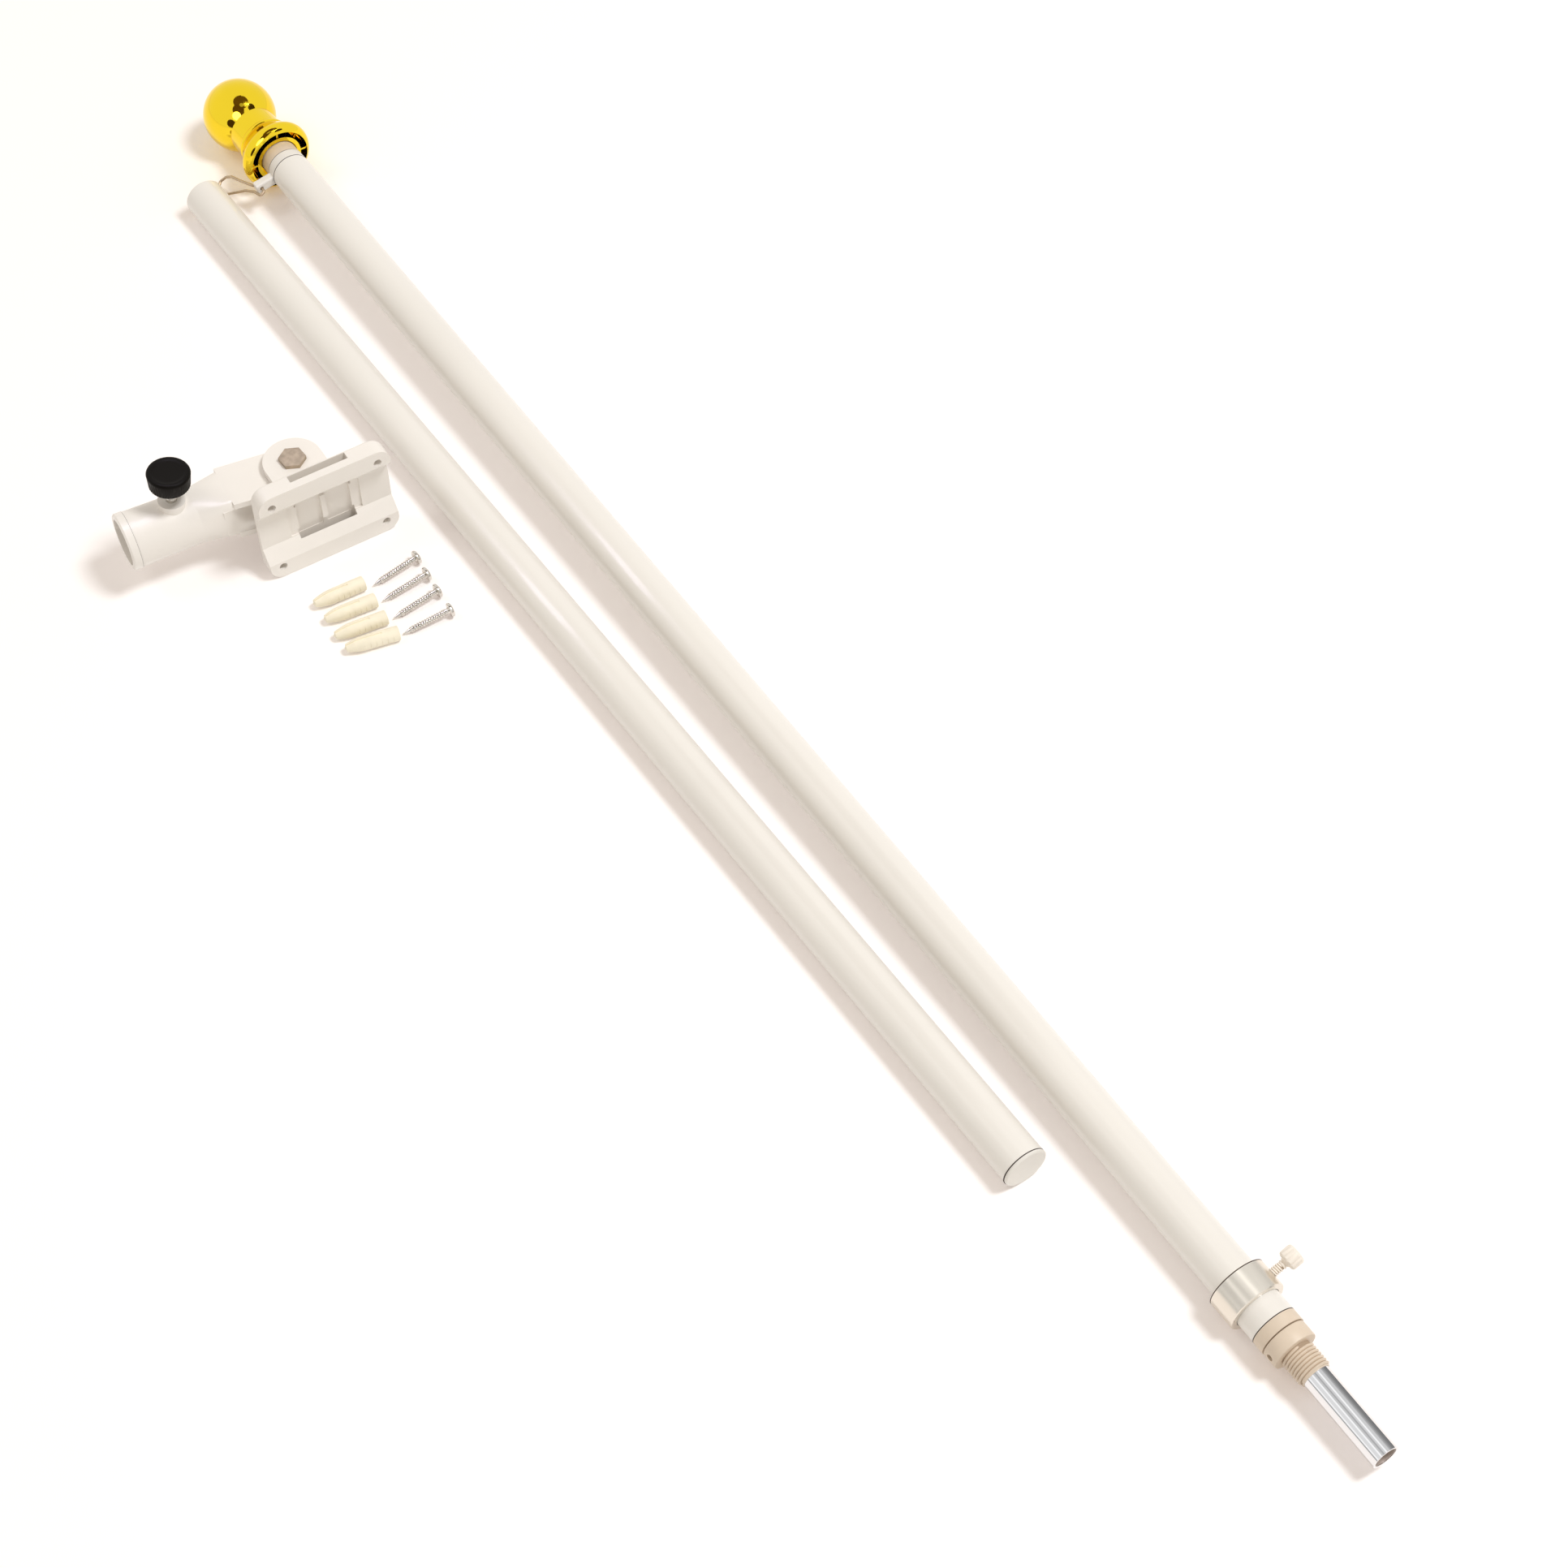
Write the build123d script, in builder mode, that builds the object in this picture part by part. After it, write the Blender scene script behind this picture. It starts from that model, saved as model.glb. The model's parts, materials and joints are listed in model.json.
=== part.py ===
"""Two-section spinning wall flagpole, with its adjustable bracket and fixings, laid out on the floor.

Millimetres, +Z up. The bracket's wall face looks to +X, and the long upper section lies a few
degrees off X: its gold ball points to -X and its bare staff to +X. The floor is Z = 0. The origin
is on the floor, under the middle of the whole layout.
"""
from build123d import *
import os
from math import asin, atan2, cos, degrees, radians, sin, sqrt, tan

# Driving sizes of the upper section
pole_d = 25.4
pole_wall = 1.2
outer_tube_length = 980.4
collar_band_length = 6.4
collar_d = 25.0
collar_spigot_length = 18.0
lug_width = 6.0
lug_height = 7.0
lug_corner_r = 1.6
lug_reach = 25.0
lug_root_depth = 3.0
lug_hole_d = 2.6
lug_hole_reach = 22.0
lug_droop_deg = 10.0
clip_wire_d = 1.8
clip_side_gap = 0.25
clip_end_depth = 0.8
clip_bend_r = 1.6
clip_slope_deg = 36.0
neck_d = 24.6
neck_length = 28.6
neck_spigot_d = 16.6
spigot_clearance = 0.05

# Driving sizes of the gold finial, which stands a little askew on its neck
finial_lean_deg = 2.0
rim_gap_above_tube = 14.2
ball_d = 47.4
ball_station_above_rim = 52.1
mouth_d = 40.2
lip_d = 47.4
lip_length = 5.6
bell_shoulder_length = 9.2
bell_shoulder_d = 44.2
bell_length = 18.3
waist_d = 32.6
waist_bead_d = 34.6
waist_bead_length = 2.5
waist_bead_crown = 0.4
cavity_depth = 13.0
cavity_root_d = 33.4
inner_ring_d = 31.6
inner_ring_bore_d = 26.6
inner_ring_setback = 0.8
inner_ring_bore_depth = 9.0
rib_count = 4
rib_first_deg = 4.0
rib_thickness = 1.2
rib_setback = 1.6
rib_length = 10.0
rib_outer_d = 39.8
rib_root_overlap = 0.2

# Driving sizes of the swivel, its thread and the bare staff
bushing_face_length = 6.6
bushing_spigot_length = 24.0
swivel_gap = 0.5
hub_d = 24.8
hub_length = 8.9
hub_hole_d = 4.0
hub_hole_depth = 5.0
hub_edge = 0.5
thread_d = 18.0
thread_length = 15.3
staff_d = 15.0
staff_wall = 1.2
staff_showing = 49.5
staff_inside = 150.0
swivel_clearance = 0.06

# Driving sizes of the flag ring and its thumbscrew
ring_d = 32.6
ring_length = 16.6
ring_edge = 0.5
ring_clearance = 0.3
ring_from_tube_end = 12.0
ring_screw_rise_deg = 21.0
ring_screw_d = 5.2
ring_screw_neck = 8.0
ring_screw_head_d = 11.0
ring_screw_head_length = 8.0
ring_screw_head_edge = 1.2
screw_tip_gap = 0.25
screw_clearance = 0.1

# Driving sizes of the lower section
lower_tube_length = 865.0
cap_flange = 1.6
cap_edge = 0.6
cap_spigot_length = 14.0
socket_length = 70.0
socket_thread_clearance = 0.4
socket_staff_clearance = 0.3
socket_thread_spare = 1.0

# Driving sizes of the bracket base
plate_turn_deg = 2.51
plate_length = 83.5
plate_width = 66.5
plate_edge_depth = 12.0
plate_edge_round = 2.0
plate_corner_r = 9.0
crown_depth = 4.0
crown_inset = 11.0
hole_spacing_long = 67.3
hole_spacing_short = 49.8
plate_hole_d = 5.0
saddle_width = 42.0
saddle_floor_width = 25.0
saddle_depth = 7.0
shoulder_length = 46.0
shoulder_width = 24.0
shoulder_depth = 1.2
pocket_length = 15.6
pocket_width = 29.0
pocket_extra_depth = 3.6
pocket_rib = 3.0
strap_slot_length = 36.4
strap_slot_width = 5.0
strap_slot_depth = 7.7
strap_slot_reach = 24.0
pivot_from_wall = 33.1
pivot_offset_long = -5.2
ear_r = 17.5
ear_thickness = 5.0
ear_clearance = 0.3
knuckle_gap = 1.0

# Driving sizes of the bracket arm
knuckle_thickness = 28.0
knuckle_r = 16.5
arm_offset = 4.4
arm_heading_deg = 5.75
arm_length = 106.0
arm_mouth_d = 33.8
arm_tube_d = 32.4
arm_tube_length = 44.0
socket_bore_d = 28.0
socket_bore_depth = 50.0
rim_band_length = 5.0
rim_band_step = 0.4
rim_round = 0.8
neck_width = 32.0
neck_corner_r = 5.0
neck_block_end = 42.0
flank_pocket_start = 17.5
flank_pocket_end = 49.0
flank_pocket_height = 20.0
flank_pocket_inset = 8.5
flank_pocket_corner_r = 4.0
knob_from_pivot = 74.7
knob_lean_deg = 5.0
boss_d = 16.0
boss_height = 2.6
boss_root_depth = 3.0
knob_d = 25.4
knob_taper = 0.7
knob_edge = 0.8
knob_height = 11.2
knob_gap = 11.5
knob_stud_d = 6.0
stud_end_gap = 0.4

# Driving sizes of the pivot bolt and nut
bolt_d = 8.0
bolt_clearance = 0.1
hex_across_flats = 14.0
hex_heading_deg = 3.0
hex_height = 2.6
nut_height = 6.5
bolt_tip = 1.8

# Driving sizes of the loose fixings
wood_screw_length = 32.5
wood_screw_d = 4.2
wood_screw_head_d = 8.6
wood_screw_head_height = 2.6
wood_screw_head_edge = 1.1
wood_screw_head_flat_d = 3.6
wood_screw_tip = 6.0
wood_screw_tip_r = 0.3
plug_length = 33.0
plug_d = 8.6
plug_edge = 0.4
plug_body_length = 19.0
plug_nose_length = 31.4
plug_nose_d = 4.8
plug_bore_d = 3.6
plug_bore_depth = 24.0

# Small gap under the loose fixings
floor_gap = 0.02

# Places on the floor, along X from the swivel gap and along Y from the upper section's axis
lower_far_past_tube = 21.1616
lower_far_y = -53.2523
lower_skew_deg = -0.54
plate_wall_x = -704.3
plate_middle_y = -126.6
wood_screw_heads = [(-671.6, -90.0, 4.4), (-657.1, -91.5, 2.4), (-642.5, -92.7, 3.0), (-625.6, -93.9, -3.6)]
plug_ends = [(-671.8, -126.4, 3.7), (-656.5, -127.0, 6.7), (-641.8, -128.3, 8.6), (-627.5, -128.3, 12.6)]

# Stations along the upper section, from the swivel gap towards the ball
pole_r = pole_d / 2
tube_start = bushing_face_length
tube_end = tube_start + outer_tube_length
collar_end = tube_end + collar_band_length
ring_start = tube_start + ring_from_tube_end
rim_station = tube_end + rim_gap_above_tube
lip_station = rim_station + lip_length

# The upper section rests on the lip of its finial and on its flag ring, so it slopes a little
rest_slope = degrees(asin((lip_d - ring_d) / 2 / (lip_station - ring_start)))
swivel_height = ring_d / 2 / cos(radians(rest_slope)) - ring_start * tan(radians(rest_slope))
lean = radians(rest_slope)
pole_frame = Plane(origin=(0, 0, swivel_height), x_dir=(0, -1, 0), z_dir=(-cos(lean), 0, sin(lean)))


def section_of(frame):
    """Plane through a frame's axis: its x is the station along the axis, its y the radius upwards."""
    return Plane(origin=frame.origin, x_dir=frame.z_dir, z_dir=-frame.x_dir)


def axis_of(frame):
    return Axis(frame.origin, frame.z_dir)


def at_station(frame, station):
    """The frame moved along its own axis."""
    return Plane(origin=frame.origin + frame.z_dir * station, x_dir=frame.x_dir, z_dir=frame.z_dir)


def ring_between(frame, outer_d, inner_d, start, end, label):
    """A plain tube or disc about a frame's axis."""
    with BuildPart() as made:
        with BuildSketch(at_station(frame, start)):
            Circle(outer_d / 2)
            if inner_d > 0:
                Circle(inner_d / 2, mode=Mode.SUBTRACT)
        extrude(amount=end - start)
    made.part.label = label
    return made.part


pieces = []

# Outer tube of the upper section
tube_bore_d = pole_d - 2 * pole_wall
pieces.append(ring_between(pole_frame, pole_d, tube_bore_d, tube_start, tube_end, "outer_tube"))

# White collar at the tube's top, with the lug that carries the wire clip
spigot_d = tube_bore_d - 2 * spigot_clearance
lug_middle = tube_end + collar_band_length / 2
droop = radians(lug_droop_deg)
lug_out = Vector(0, -1, 0) * cos(droop) - pole_frame.y_dir * sin(droop)
lug_frame = Plane(
    origin=pole_frame.origin + pole_frame.z_dir * lug_middle,
    x_dir=pole_frame.z_dir,
    z_dir=lug_out,
)
lug_hole = lug_frame.origin + lug_out * lug_hole_reach
with BuildPart() as top_collar:
    with BuildSketch(at_station(pole_frame, tube_end)):
        Circle(collar_d / 2)
    extrude(amount=collar_band_length)
    with BuildSketch(at_station(pole_frame, tube_end - collar_spigot_length)):
        Circle(spigot_d / 2)
    extrude(amount=collar_spigot_length)
    with BuildSketch(lug_frame.offset(collar_d / 2 - lug_root_depth)):
        RectangleRounded(lug_width, lug_height, lug_corner_r)
    extrude(amount=lug_reach - collar_d / 2 + lug_root_depth)
    with BuildSketch(at_station(pole_frame, tube_end - collar_spigot_length)):
        Circle(neck_spigot_d / 2)
    extrude(amount=collar_spigot_length + collar_band_length, mode=Mode.SUBTRACT)
    with BuildSketch(Plane(origin=lug_hole - pole_frame.z_dir * lug_width, x_dir=lug_out, z_dir=pole_frame.z_dir)):
        Circle(lug_hole_d / 2)
    extrude(amount=2 * lug_width, mode=Mode.SUBTRACT)
top_collar.part.label = "top_collar"
pieces.append(top_collar.part)

# Wire clip: one bent wire whose two ends turn into the lug's hole
clip_side = lug_width / 2 + clip_wire_d / 2 + clip_side_gap
clip_down = Vector(0, -cos(radians(clip_slope_deg)), -sin(radians(clip_slope_deg)))
clip_plane = Plane(
    origin=lug_hole,
    x_dir=-pole_frame.z_dir,
    z_dir=Vector(-pole_frame.z_dir).cross(clip_down),
)
clip_outline = [
    (clip_end_depth, 0),
    (clip_side + 2.2, 0),
    (clip_side + 2.0, 3.8),
    (-0.5, 5.4),
    (-7.0, 9.4),
    (-16.8, 19.6),
    (-20.5, 22.6),
    (-26.0, 22.6),
    (-29.4, 18.6),
    (-28.0, 13.6),
    (-24.5, 10.7),
    (-16.3, 7.9),
    (-clip_side, 3.2),
    (-clip_side, 0),
    (-clip_end_depth, 0),
]
with BuildPart() as wire_clip:
    with BuildLine(clip_plane) as clip_path:
        FilletPolyline(*clip_outline, radius=clip_bend_r)
    with BuildSketch(Plane(origin=clip_path.line @ 0, z_dir=clip_path.line % 0)):
        Circle(clip_wire_d / 2)
    sweep(path=clip_path.line, transition=Transition.ROUND)
wire_clip.part.label = "wire_clip"
pieces.append(wire_clip.part)

# Beige neck between the collar and the finial
with BuildPart() as finial_neck:
    with BuildSketch(at_station(pole_frame, collar_end)):
        Circle(neck_d / 2)
    extrude(amount=neck_length)
    with BuildSketch(at_station(pole_frame, tube_end - collar_spigot_length)):
        Circle(neck_spigot_d / 2 - spigot_clearance)
    extrude(amount=collar_spigot_length + collar_band_length)
finial_neck.part.label = "finial_neck"
pieces.append(finial_neck.part)

# Gold finial: a ball on a bell whose open face shows an inner ring held by ribs
askew = radians(finial_lean_deg)
neck_seat = at_station(pole_frame, collar_end)
finial_axis = Plane(
    origin=neck_seat.origin,
    x_dir=neck_seat.x_dir * cos(askew) - neck_seat.z_dir * sin(askew),
    z_dir=neck_seat.z_dir * cos(askew) + neck_seat.x_dir * sin(askew),
)
finial_frame = at_station(finial_axis, rim_station - collar_end)
ball_r = ball_d / 2
waist_r = waist_d / 2
bead_r = waist_bead_d / 2
bead_end = bell_length + waist_bead_length
ball_seat = ball_station_above_rim - sqrt(ball_r**2 - waist_r**2)
rib_inner_r = inner_ring_d / 2 - rib_root_overlap
with BuildPart() as finial:
    with BuildSketch(section_of(finial_frame)):
        with BuildLine():
            Polyline(
                (ball_station_above_rim + ball_r, 0),
                (inner_ring_bore_depth, 0),
                (inner_ring_bore_depth, inner_ring_bore_d / 2),
                (inner_ring_setback, inner_ring_bore_d / 2),
                (inner_ring_setback, inner_ring_d / 2),
                (cavity_depth, inner_ring_d / 2),
                (cavity_depth, cavity_root_d / 2),
                (0, mouth_d / 2),
            )
            TangentArc((lip_length, lip_d / 2), (0, mouth_d / 2), tangent=(-1, 0))
            TangentArc((lip_length, lip_d / 2), (bell_shoulder_length, bell_shoulder_d / 2), tangent=(1, 0))
            Polyline((bell_shoulder_length, bell_shoulder_d / 2), (bell_length, bead_r))
            ThreePointArc(
                (bell_length, bead_r),
                (bell_length + waist_bead_length / 2, bead_r + waist_bead_crown),
                (bead_end, bead_r),
            )
            Polyline((bead_end, bead_r), (bead_end, waist_r), (ball_seat, waist_r))
            ThreePointArc(
                (ball_seat, waist_r),
                (ball_station_above_rim, ball_r),
                (ball_station_above_rim + ball_r, 0),
            )
        make_face()
    revolve(axis=axis_of(finial_frame))
    with BuildSketch(finial_frame.offset(rib_setback)):
        with PolarLocations((rib_inner_r + rib_outer_d / 2) / 2, rib_count, start_angle=rib_first_deg):
            Rectangle(rib_outer_d / 2 - rib_inner_r, rib_thickness)
    extrude(amount=rib_length)
    with BuildSketch(at_station(pole_frame, collar_end)):
        Circle(neck_d / 2 + spigot_clearance)
    extrude(amount=neck_length + spigot_clearance, mode=Mode.SUBTRACT)
finial.part.label = "finial"
pieces.append(finial.part)

# Beige lower bushing, a flange flush with the tube and a long spigot inside it
staff_bore_d = staff_d + 2 * swivel_clearance
with BuildPart() as lower_bushing:
    with BuildSketch(pole_frame):
        Circle(pole_r)
    extrude(amount=bushing_face_length)
    with BuildSketch(at_station(pole_frame, bushing_face_length)):
        Circle(spigot_d / 2)
    extrude(amount=bushing_spigot_length)
    with BuildSketch(pole_frame):
        Circle(staff_bore_d / 2)
    extrude(amount=bushing_face_length + bushing_spigot_length, mode=Mode.SUBTRACT)
lower_bushing.part.label = "lower_bushing"
pieces.append(lower_bushing.part)

# Beige coupling: a hub with a cross hole, then the plain barrel that carries the thread
hub_start = -swivel_gap - hub_length
thread_start = hub_start - thread_length
hub_middle = at_station(pole_frame, hub_start + hub_length / 2)
hub_side = Plane(origin=hub_middle.origin, x_dir=pole_frame.z_dir, z_dir=pole_frame.x_dir)
with BuildPart() as coupling:
    with BuildSketch(at_station(pole_frame, hub_start)):
        Circle(hub_d / 2)
    extrude(amount=hub_length)
    chamfer(coupling.edges().filter_by(GeomType.CIRCLE), hub_edge)
    with BuildSketch(at_station(pole_frame, thread_start)):
        Circle(thread_d / 2)
    extrude(amount=thread_length)
    with BuildSketch(at_station(pole_frame, thread_start)):
        Circle(staff_d / 2)
    extrude(amount=thread_length + hub_length, mode=Mode.SUBTRACT)
    with BuildSketch(hub_side.offset(hub_d / 2 - hub_hole_depth)):
        Circle(hub_hole_d / 2)
    extrude(amount=2 * hub_hole_depth, mode=Mode.SUBTRACT)
coupling.part.label = "threaded_coupling"
pieces.append(coupling.part)

# Polished steel staff, bare below the thread and turning in the bushing above it
pieces.append(ring_between(pole_frame, staff_d, staff_d - 2 * staff_wall, thread_start - staff_showing,
                           staff_inside, "steel_staff"))

# Aluminium flag ring, with a tapped hole for its thumbscrew
ring_bore_d = pole_d + 2 * ring_clearance
rise = radians(ring_screw_rise_deg)
screw_out = -pole_frame.x_dir * cos(rise) + pole_frame.y_dir * sin(rise)
ring_middle = ring_start + ring_length / 2
ring_centre = pole_frame.origin + pole_frame.z_dir * ring_middle
screw_frame = Plane(origin=ring_centre, x_dir=pole_frame.z_dir, z_dir=screw_out)
with BuildPart() as flag_ring:
    with BuildSketch(at_station(pole_frame, ring_start)):
        Circle(ring_d / 2)
    extrude(amount=ring_length)
    chamfer(flag_ring.edges().filter_by(GeomType.CIRCLE), ring_edge)
    with BuildSketch(at_station(pole_frame, ring_start)):
        Circle(ring_bore_d / 2)
    extrude(amount=ring_length, mode=Mode.SUBTRACT)
    with BuildSketch(screw_frame):
        Circle(ring_screw_d / 2 + screw_clearance)
    extrude(amount=ring_d, mode=Mode.SUBTRACT)
flag_ring.part.label = "flag_ring"
pieces.append(flag_ring.part)

screw_start = pole_r + screw_tip_gap
screw_head_start = ring_d / 2 + ring_screw_neck
with BuildPart() as ring_screw:
    with BuildSketch(screw_frame.offset(screw_head_start)):
        Circle(ring_screw_head_d / 2)
    extrude(amount=ring_screw_head_length)
    chamfer(ring_screw.edges().filter_by(GeomType.CIRCLE), ring_screw_head_edge)
    with BuildSketch(screw_frame.offset(screw_start)):
        Circle(ring_screw_d / 2)
    extrude(amount=screw_head_start - screw_start)
ring_screw.part.label = "ring_thumbscrew"
pieces.append(ring_screw.part)

# Lower section: a plain tube, capped at its near end and threaded inside its far end, which lies by the clip
skew = radians(lower_skew_deg)
lower_dir = Vector(-cos(skew), sin(skew), 0)
lower_far_end = Vector(-tube_end - lower_far_past_tube, lower_far_y, pole_r)
lower_frame = Plane(
    origin=lower_far_end - lower_dir * lower_tube_length,
    x_dir=(sin(skew), -cos(skew), 0),
    z_dir=lower_dir,
)
pieces.append(ring_between(lower_frame, pole_d, tube_bore_d, cap_flange, lower_tube_length, "lower_tube"))
with BuildPart() as lower_cap:
    with BuildSketch(lower_frame):
        Circle(pole_r)
    extrude(amount=cap_flange)
    chamfer(lower_cap.edges().filter_by(GeomType.CIRCLE).sort_by(Axis.X)[-1], cap_edge)
    with BuildSketch(at_station(lower_frame, cap_flange)):
        Circle(spigot_d / 2)
    extrude(amount=cap_spigot_length)
lower_cap.part.label = "lower_end_cap"
pieces.append(lower_cap.part)
socket_thread_d = thread_d + 2 * socket_thread_clearance
socket_staff_d = staff_d + 2 * socket_staff_clearance
socket_thread_length = thread_length + socket_thread_spare
with BuildPart() as joint_socket:
    with BuildSketch(at_station(lower_frame, lower_tube_length - socket_length)):
        Circle(spigot_d / 2)
    extrude(amount=socket_length)
    with BuildSketch(at_station(lower_frame, lower_tube_length - socket_length)):
        Circle(socket_staff_d / 2)
    extrude(amount=socket_length, mode=Mode.SUBTRACT)
    with BuildSketch(at_station(lower_frame, lower_tube_length - socket_thread_length)):
        Circle(socket_thread_d / 2)
    extrude(amount=socket_thread_length, mode=Mode.SUBTRACT)
joint_socket.part.label = "joint_socket"
pieces.append(joint_socket.part)

# Bracket base: it stands on one long side, and its frame is turned a little from the poles
turned = radians(plate_turn_deg)
wall_out = Vector(cos(turned), -sin(turned), 0)
wall_along = Vector(sin(turned), cos(turned), 0)
base_origin = Vector(plate_wall_x, plate_middle_y, plate_width / 2)
wall_face = Plane(origin=base_origin, x_dir=wall_along, z_dir=wall_out)
base_plan = Plane(origin=base_origin, x_dir=wall_out, z_dir=(0, 0, 1))
base_end = Plane(origin=base_origin - wall_along * plate_length, x_dir=wall_out, z_dir=wall_along)
pivot_origin = base_origin - wall_out * pivot_from_wall + wall_along * pivot_offset_long
hex_heading = radians(hex_heading_deg)
pivot_frame = Plane(origin=pivot_origin, x_dir=(cos(hex_heading), sin(hex_heading), 0), z_dir=(0, 0, 1))
ear_start = knuckle_thickness / 2 + ear_clearance
ear_end = ear_start + ear_thickness
crown_start = plate_edge_depth - plate_edge_round
with BuildPart() as bracket_base:
    with BuildSketch(wall_face):
        RectangleRounded(plate_length, plate_width, plate_corner_r)
    extrude(amount=-plate_edge_depth)
    fillet(bracket_base.faces().sort_by(Axis(base_origin, -wall_out))[-1].edges(), plate_edge_round)
    with BuildSketch(wall_face.offset(-crown_start)):
        RectangleRounded(plate_length - crown_inset, plate_width - crown_inset, plate_corner_r)
    with BuildSketch(wall_face.offset(-plate_edge_depth - crown_depth)):
        RectangleRounded(plate_length - 2 * crown_inset, plate_width - 2 * crown_inset, plate_corner_r)
    loft()
    for side in (1, -1):
        with BuildSketch(base_plan.offset(side * ear_start)):
            with Locations((-pivot_from_wall, pivot_offset_long)):
                Circle(ear_r)
            with Locations((-(pivot_from_wall + crown_start) / 2, pivot_offset_long)):
                Rectangle(pivot_from_wall - crown_start, 2 * ear_r)
        extrude(amount=side * ear_thickness)
    with BuildSketch(base_end):
        with BuildLine():
            Polyline(
                (0, -saddle_width / 2),
                (-saddle_depth, -saddle_floor_width / 2),
                (-saddle_depth, saddle_floor_width / 2),
                (0, saddle_width / 2),
                (saddle_depth, saddle_width / 2),
                (saddle_depth, -saddle_width / 2),
                close=True,
            )
        make_face()
    extrude(amount=2 * plate_length, mode=Mode.SUBTRACT)
    with BuildSketch(wall_face.offset(-saddle_depth - shoulder_depth)):
        Rectangle(shoulder_length, shoulder_width)
    extrude(amount=2 * shoulder_depth, mode=Mode.SUBTRACT)
    with BuildSketch(wall_face.offset(-saddle_depth - pocket_extra_depth)):
        with GridLocations(pocket_length + pocket_rib, 0, 2, 1):
            Rectangle(pocket_length, pocket_width)
    extrude(amount=saddle_depth + pocket_extra_depth, mode=Mode.SUBTRACT)
    with BuildSketch(wall_face):
        with GridLocations(hole_spacing_long, hole_spacing_short, 2, 2):
            Circle(plate_hole_d / 2)
    extrude(amount=-plate_edge_depth - crown_depth, mode=Mode.SUBTRACT)
    for start in (-plate_width / 2, plate_width / 2 - strap_slot_reach):
        with BuildSketch(base_plan.offset(start)):
            with Locations((-strap_slot_depth, 0)):
                Rectangle(strap_slot_width, strap_slot_length)
        extrude(amount=strap_slot_reach, mode=Mode.SUBTRACT)
    with BuildSketch(base_plan.offset(-ear_start)):
        with Locations((-pivot_from_wall, pivot_offset_long)):
            Circle(knuckle_r + knuckle_gap)
    extrude(amount=2 * ear_start, mode=Mode.SUBTRACT)
    with BuildSketch(pivot_frame.offset(-plate_width / 2)):
        Circle(bolt_d / 2 + bolt_clearance)
    extrude(amount=plate_width, mode=Mode.SUBTRACT)
bracket_base.part.label = "bracket_base"
pieces.append(bracket_base.part)

# Bracket arm: a round socket that changes into a flat-topped block and ends in the knuckle between the ears
heading = radians(arm_heading_deg)
arm_dir = Vector(-sin(heading), -cos(heading), 0)
arm_side = Vector(-cos(heading), sin(heading), 0)
arm_frame = Plane(origin=pivot_origin + arm_side * arm_offset, x_dir=arm_side, z_dir=arm_dir)
arm_plan = Plane(origin=arm_frame.origin, x_dir=arm_dir, z_dir=(0, 0, -1))
arm_flank = Plane(origin=arm_frame.origin, x_dir=arm_dir, z_dir=-arm_side)
tube_from = arm_length - arm_tube_length
mouth_r = arm_mouth_d / 2
band_start = arm_length - rim_band_length
band_r = mouth_r + rim_band_step
knob_lean = radians(knob_lean_deg)
knob_out = Vector(0, 0, 1) * cos(knob_lean) - arm_dir * sin(knob_lean)
knob_frame = Plane(origin=arm_frame.origin + arm_dir * knob_from_pivot, x_dir=arm_side, z_dir=knob_out)
with BuildPart() as bracket_arm:
    with BuildSketch(arm_plan.offset(-knuckle_thickness / 2)):
        with BuildLine():
            Polyline(
                (0, knuckle_r - arm_offset),
                (neck_block_end, neck_width / 2),
                (neck_block_end, -neck_width / 2),
                (0, -knuckle_r - arm_offset),
                close=True,
            )
        make_face()
        with Locations((0, -arm_offset)):
            Circle(knuckle_r)
    extrude(amount=knuckle_thickness)
    with BuildSketch(at_station(arm_frame, neck_block_end)):
        RectangleRounded(neck_width, knuckle_thickness, neck_corner_r)
    with BuildSketch(at_station(arm_frame, tube_from)):
        Circle(arm_tube_d / 2)
    loft()
    with BuildSketch(section_of(arm_frame)):
        with BuildLine():
            Polyline(
                (tube_from, 0),
                (tube_from, arm_tube_d / 2),
                (band_start, mouth_r),
                (band_start, band_r),
                (arm_length - rim_round, band_r),
                (arm_length, band_r - rim_round),
                (arm_length, 0),
                close=True,
            )
        make_face()
    revolve(axis=axis_of(arm_frame))
    with BuildSketch(arm_flank.offset(flank_pocket_inset)):
        with Locations(((flank_pocket_start + flank_pocket_end) / 2, 0)):
            RectangleRounded(flank_pocket_end - flank_pocket_start, flank_pocket_height, flank_pocket_corner_r)
    extrude(amount=neck_width, mode=Mode.SUBTRACT)
    with BuildSketch(knob_frame.offset(mouth_r - boss_root_depth)):
        Circle(boss_d / 2)
    extrude(amount=boss_root_depth + boss_height)
    with BuildSketch(at_station(arm_frame, arm_length - socket_bore_depth)):
        Circle(socket_bore_d / 2)
    extrude(amount=socket_bore_depth, mode=Mode.SUBTRACT)
    with BuildSketch(knob_frame):
        Circle(knob_stud_d / 2 + screw_clearance)
    extrude(amount=arm_tube_d, mode=Mode.SUBTRACT)
    with BuildSketch(pivot_frame.offset(-plate_width / 2)):
        Circle(bolt_d / 2 + bolt_clearance)
    extrude(amount=plate_width, mode=Mode.SUBTRACT)
bracket_arm.part.label = "bracket_arm"
pieces.append(bracket_arm.part)

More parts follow.
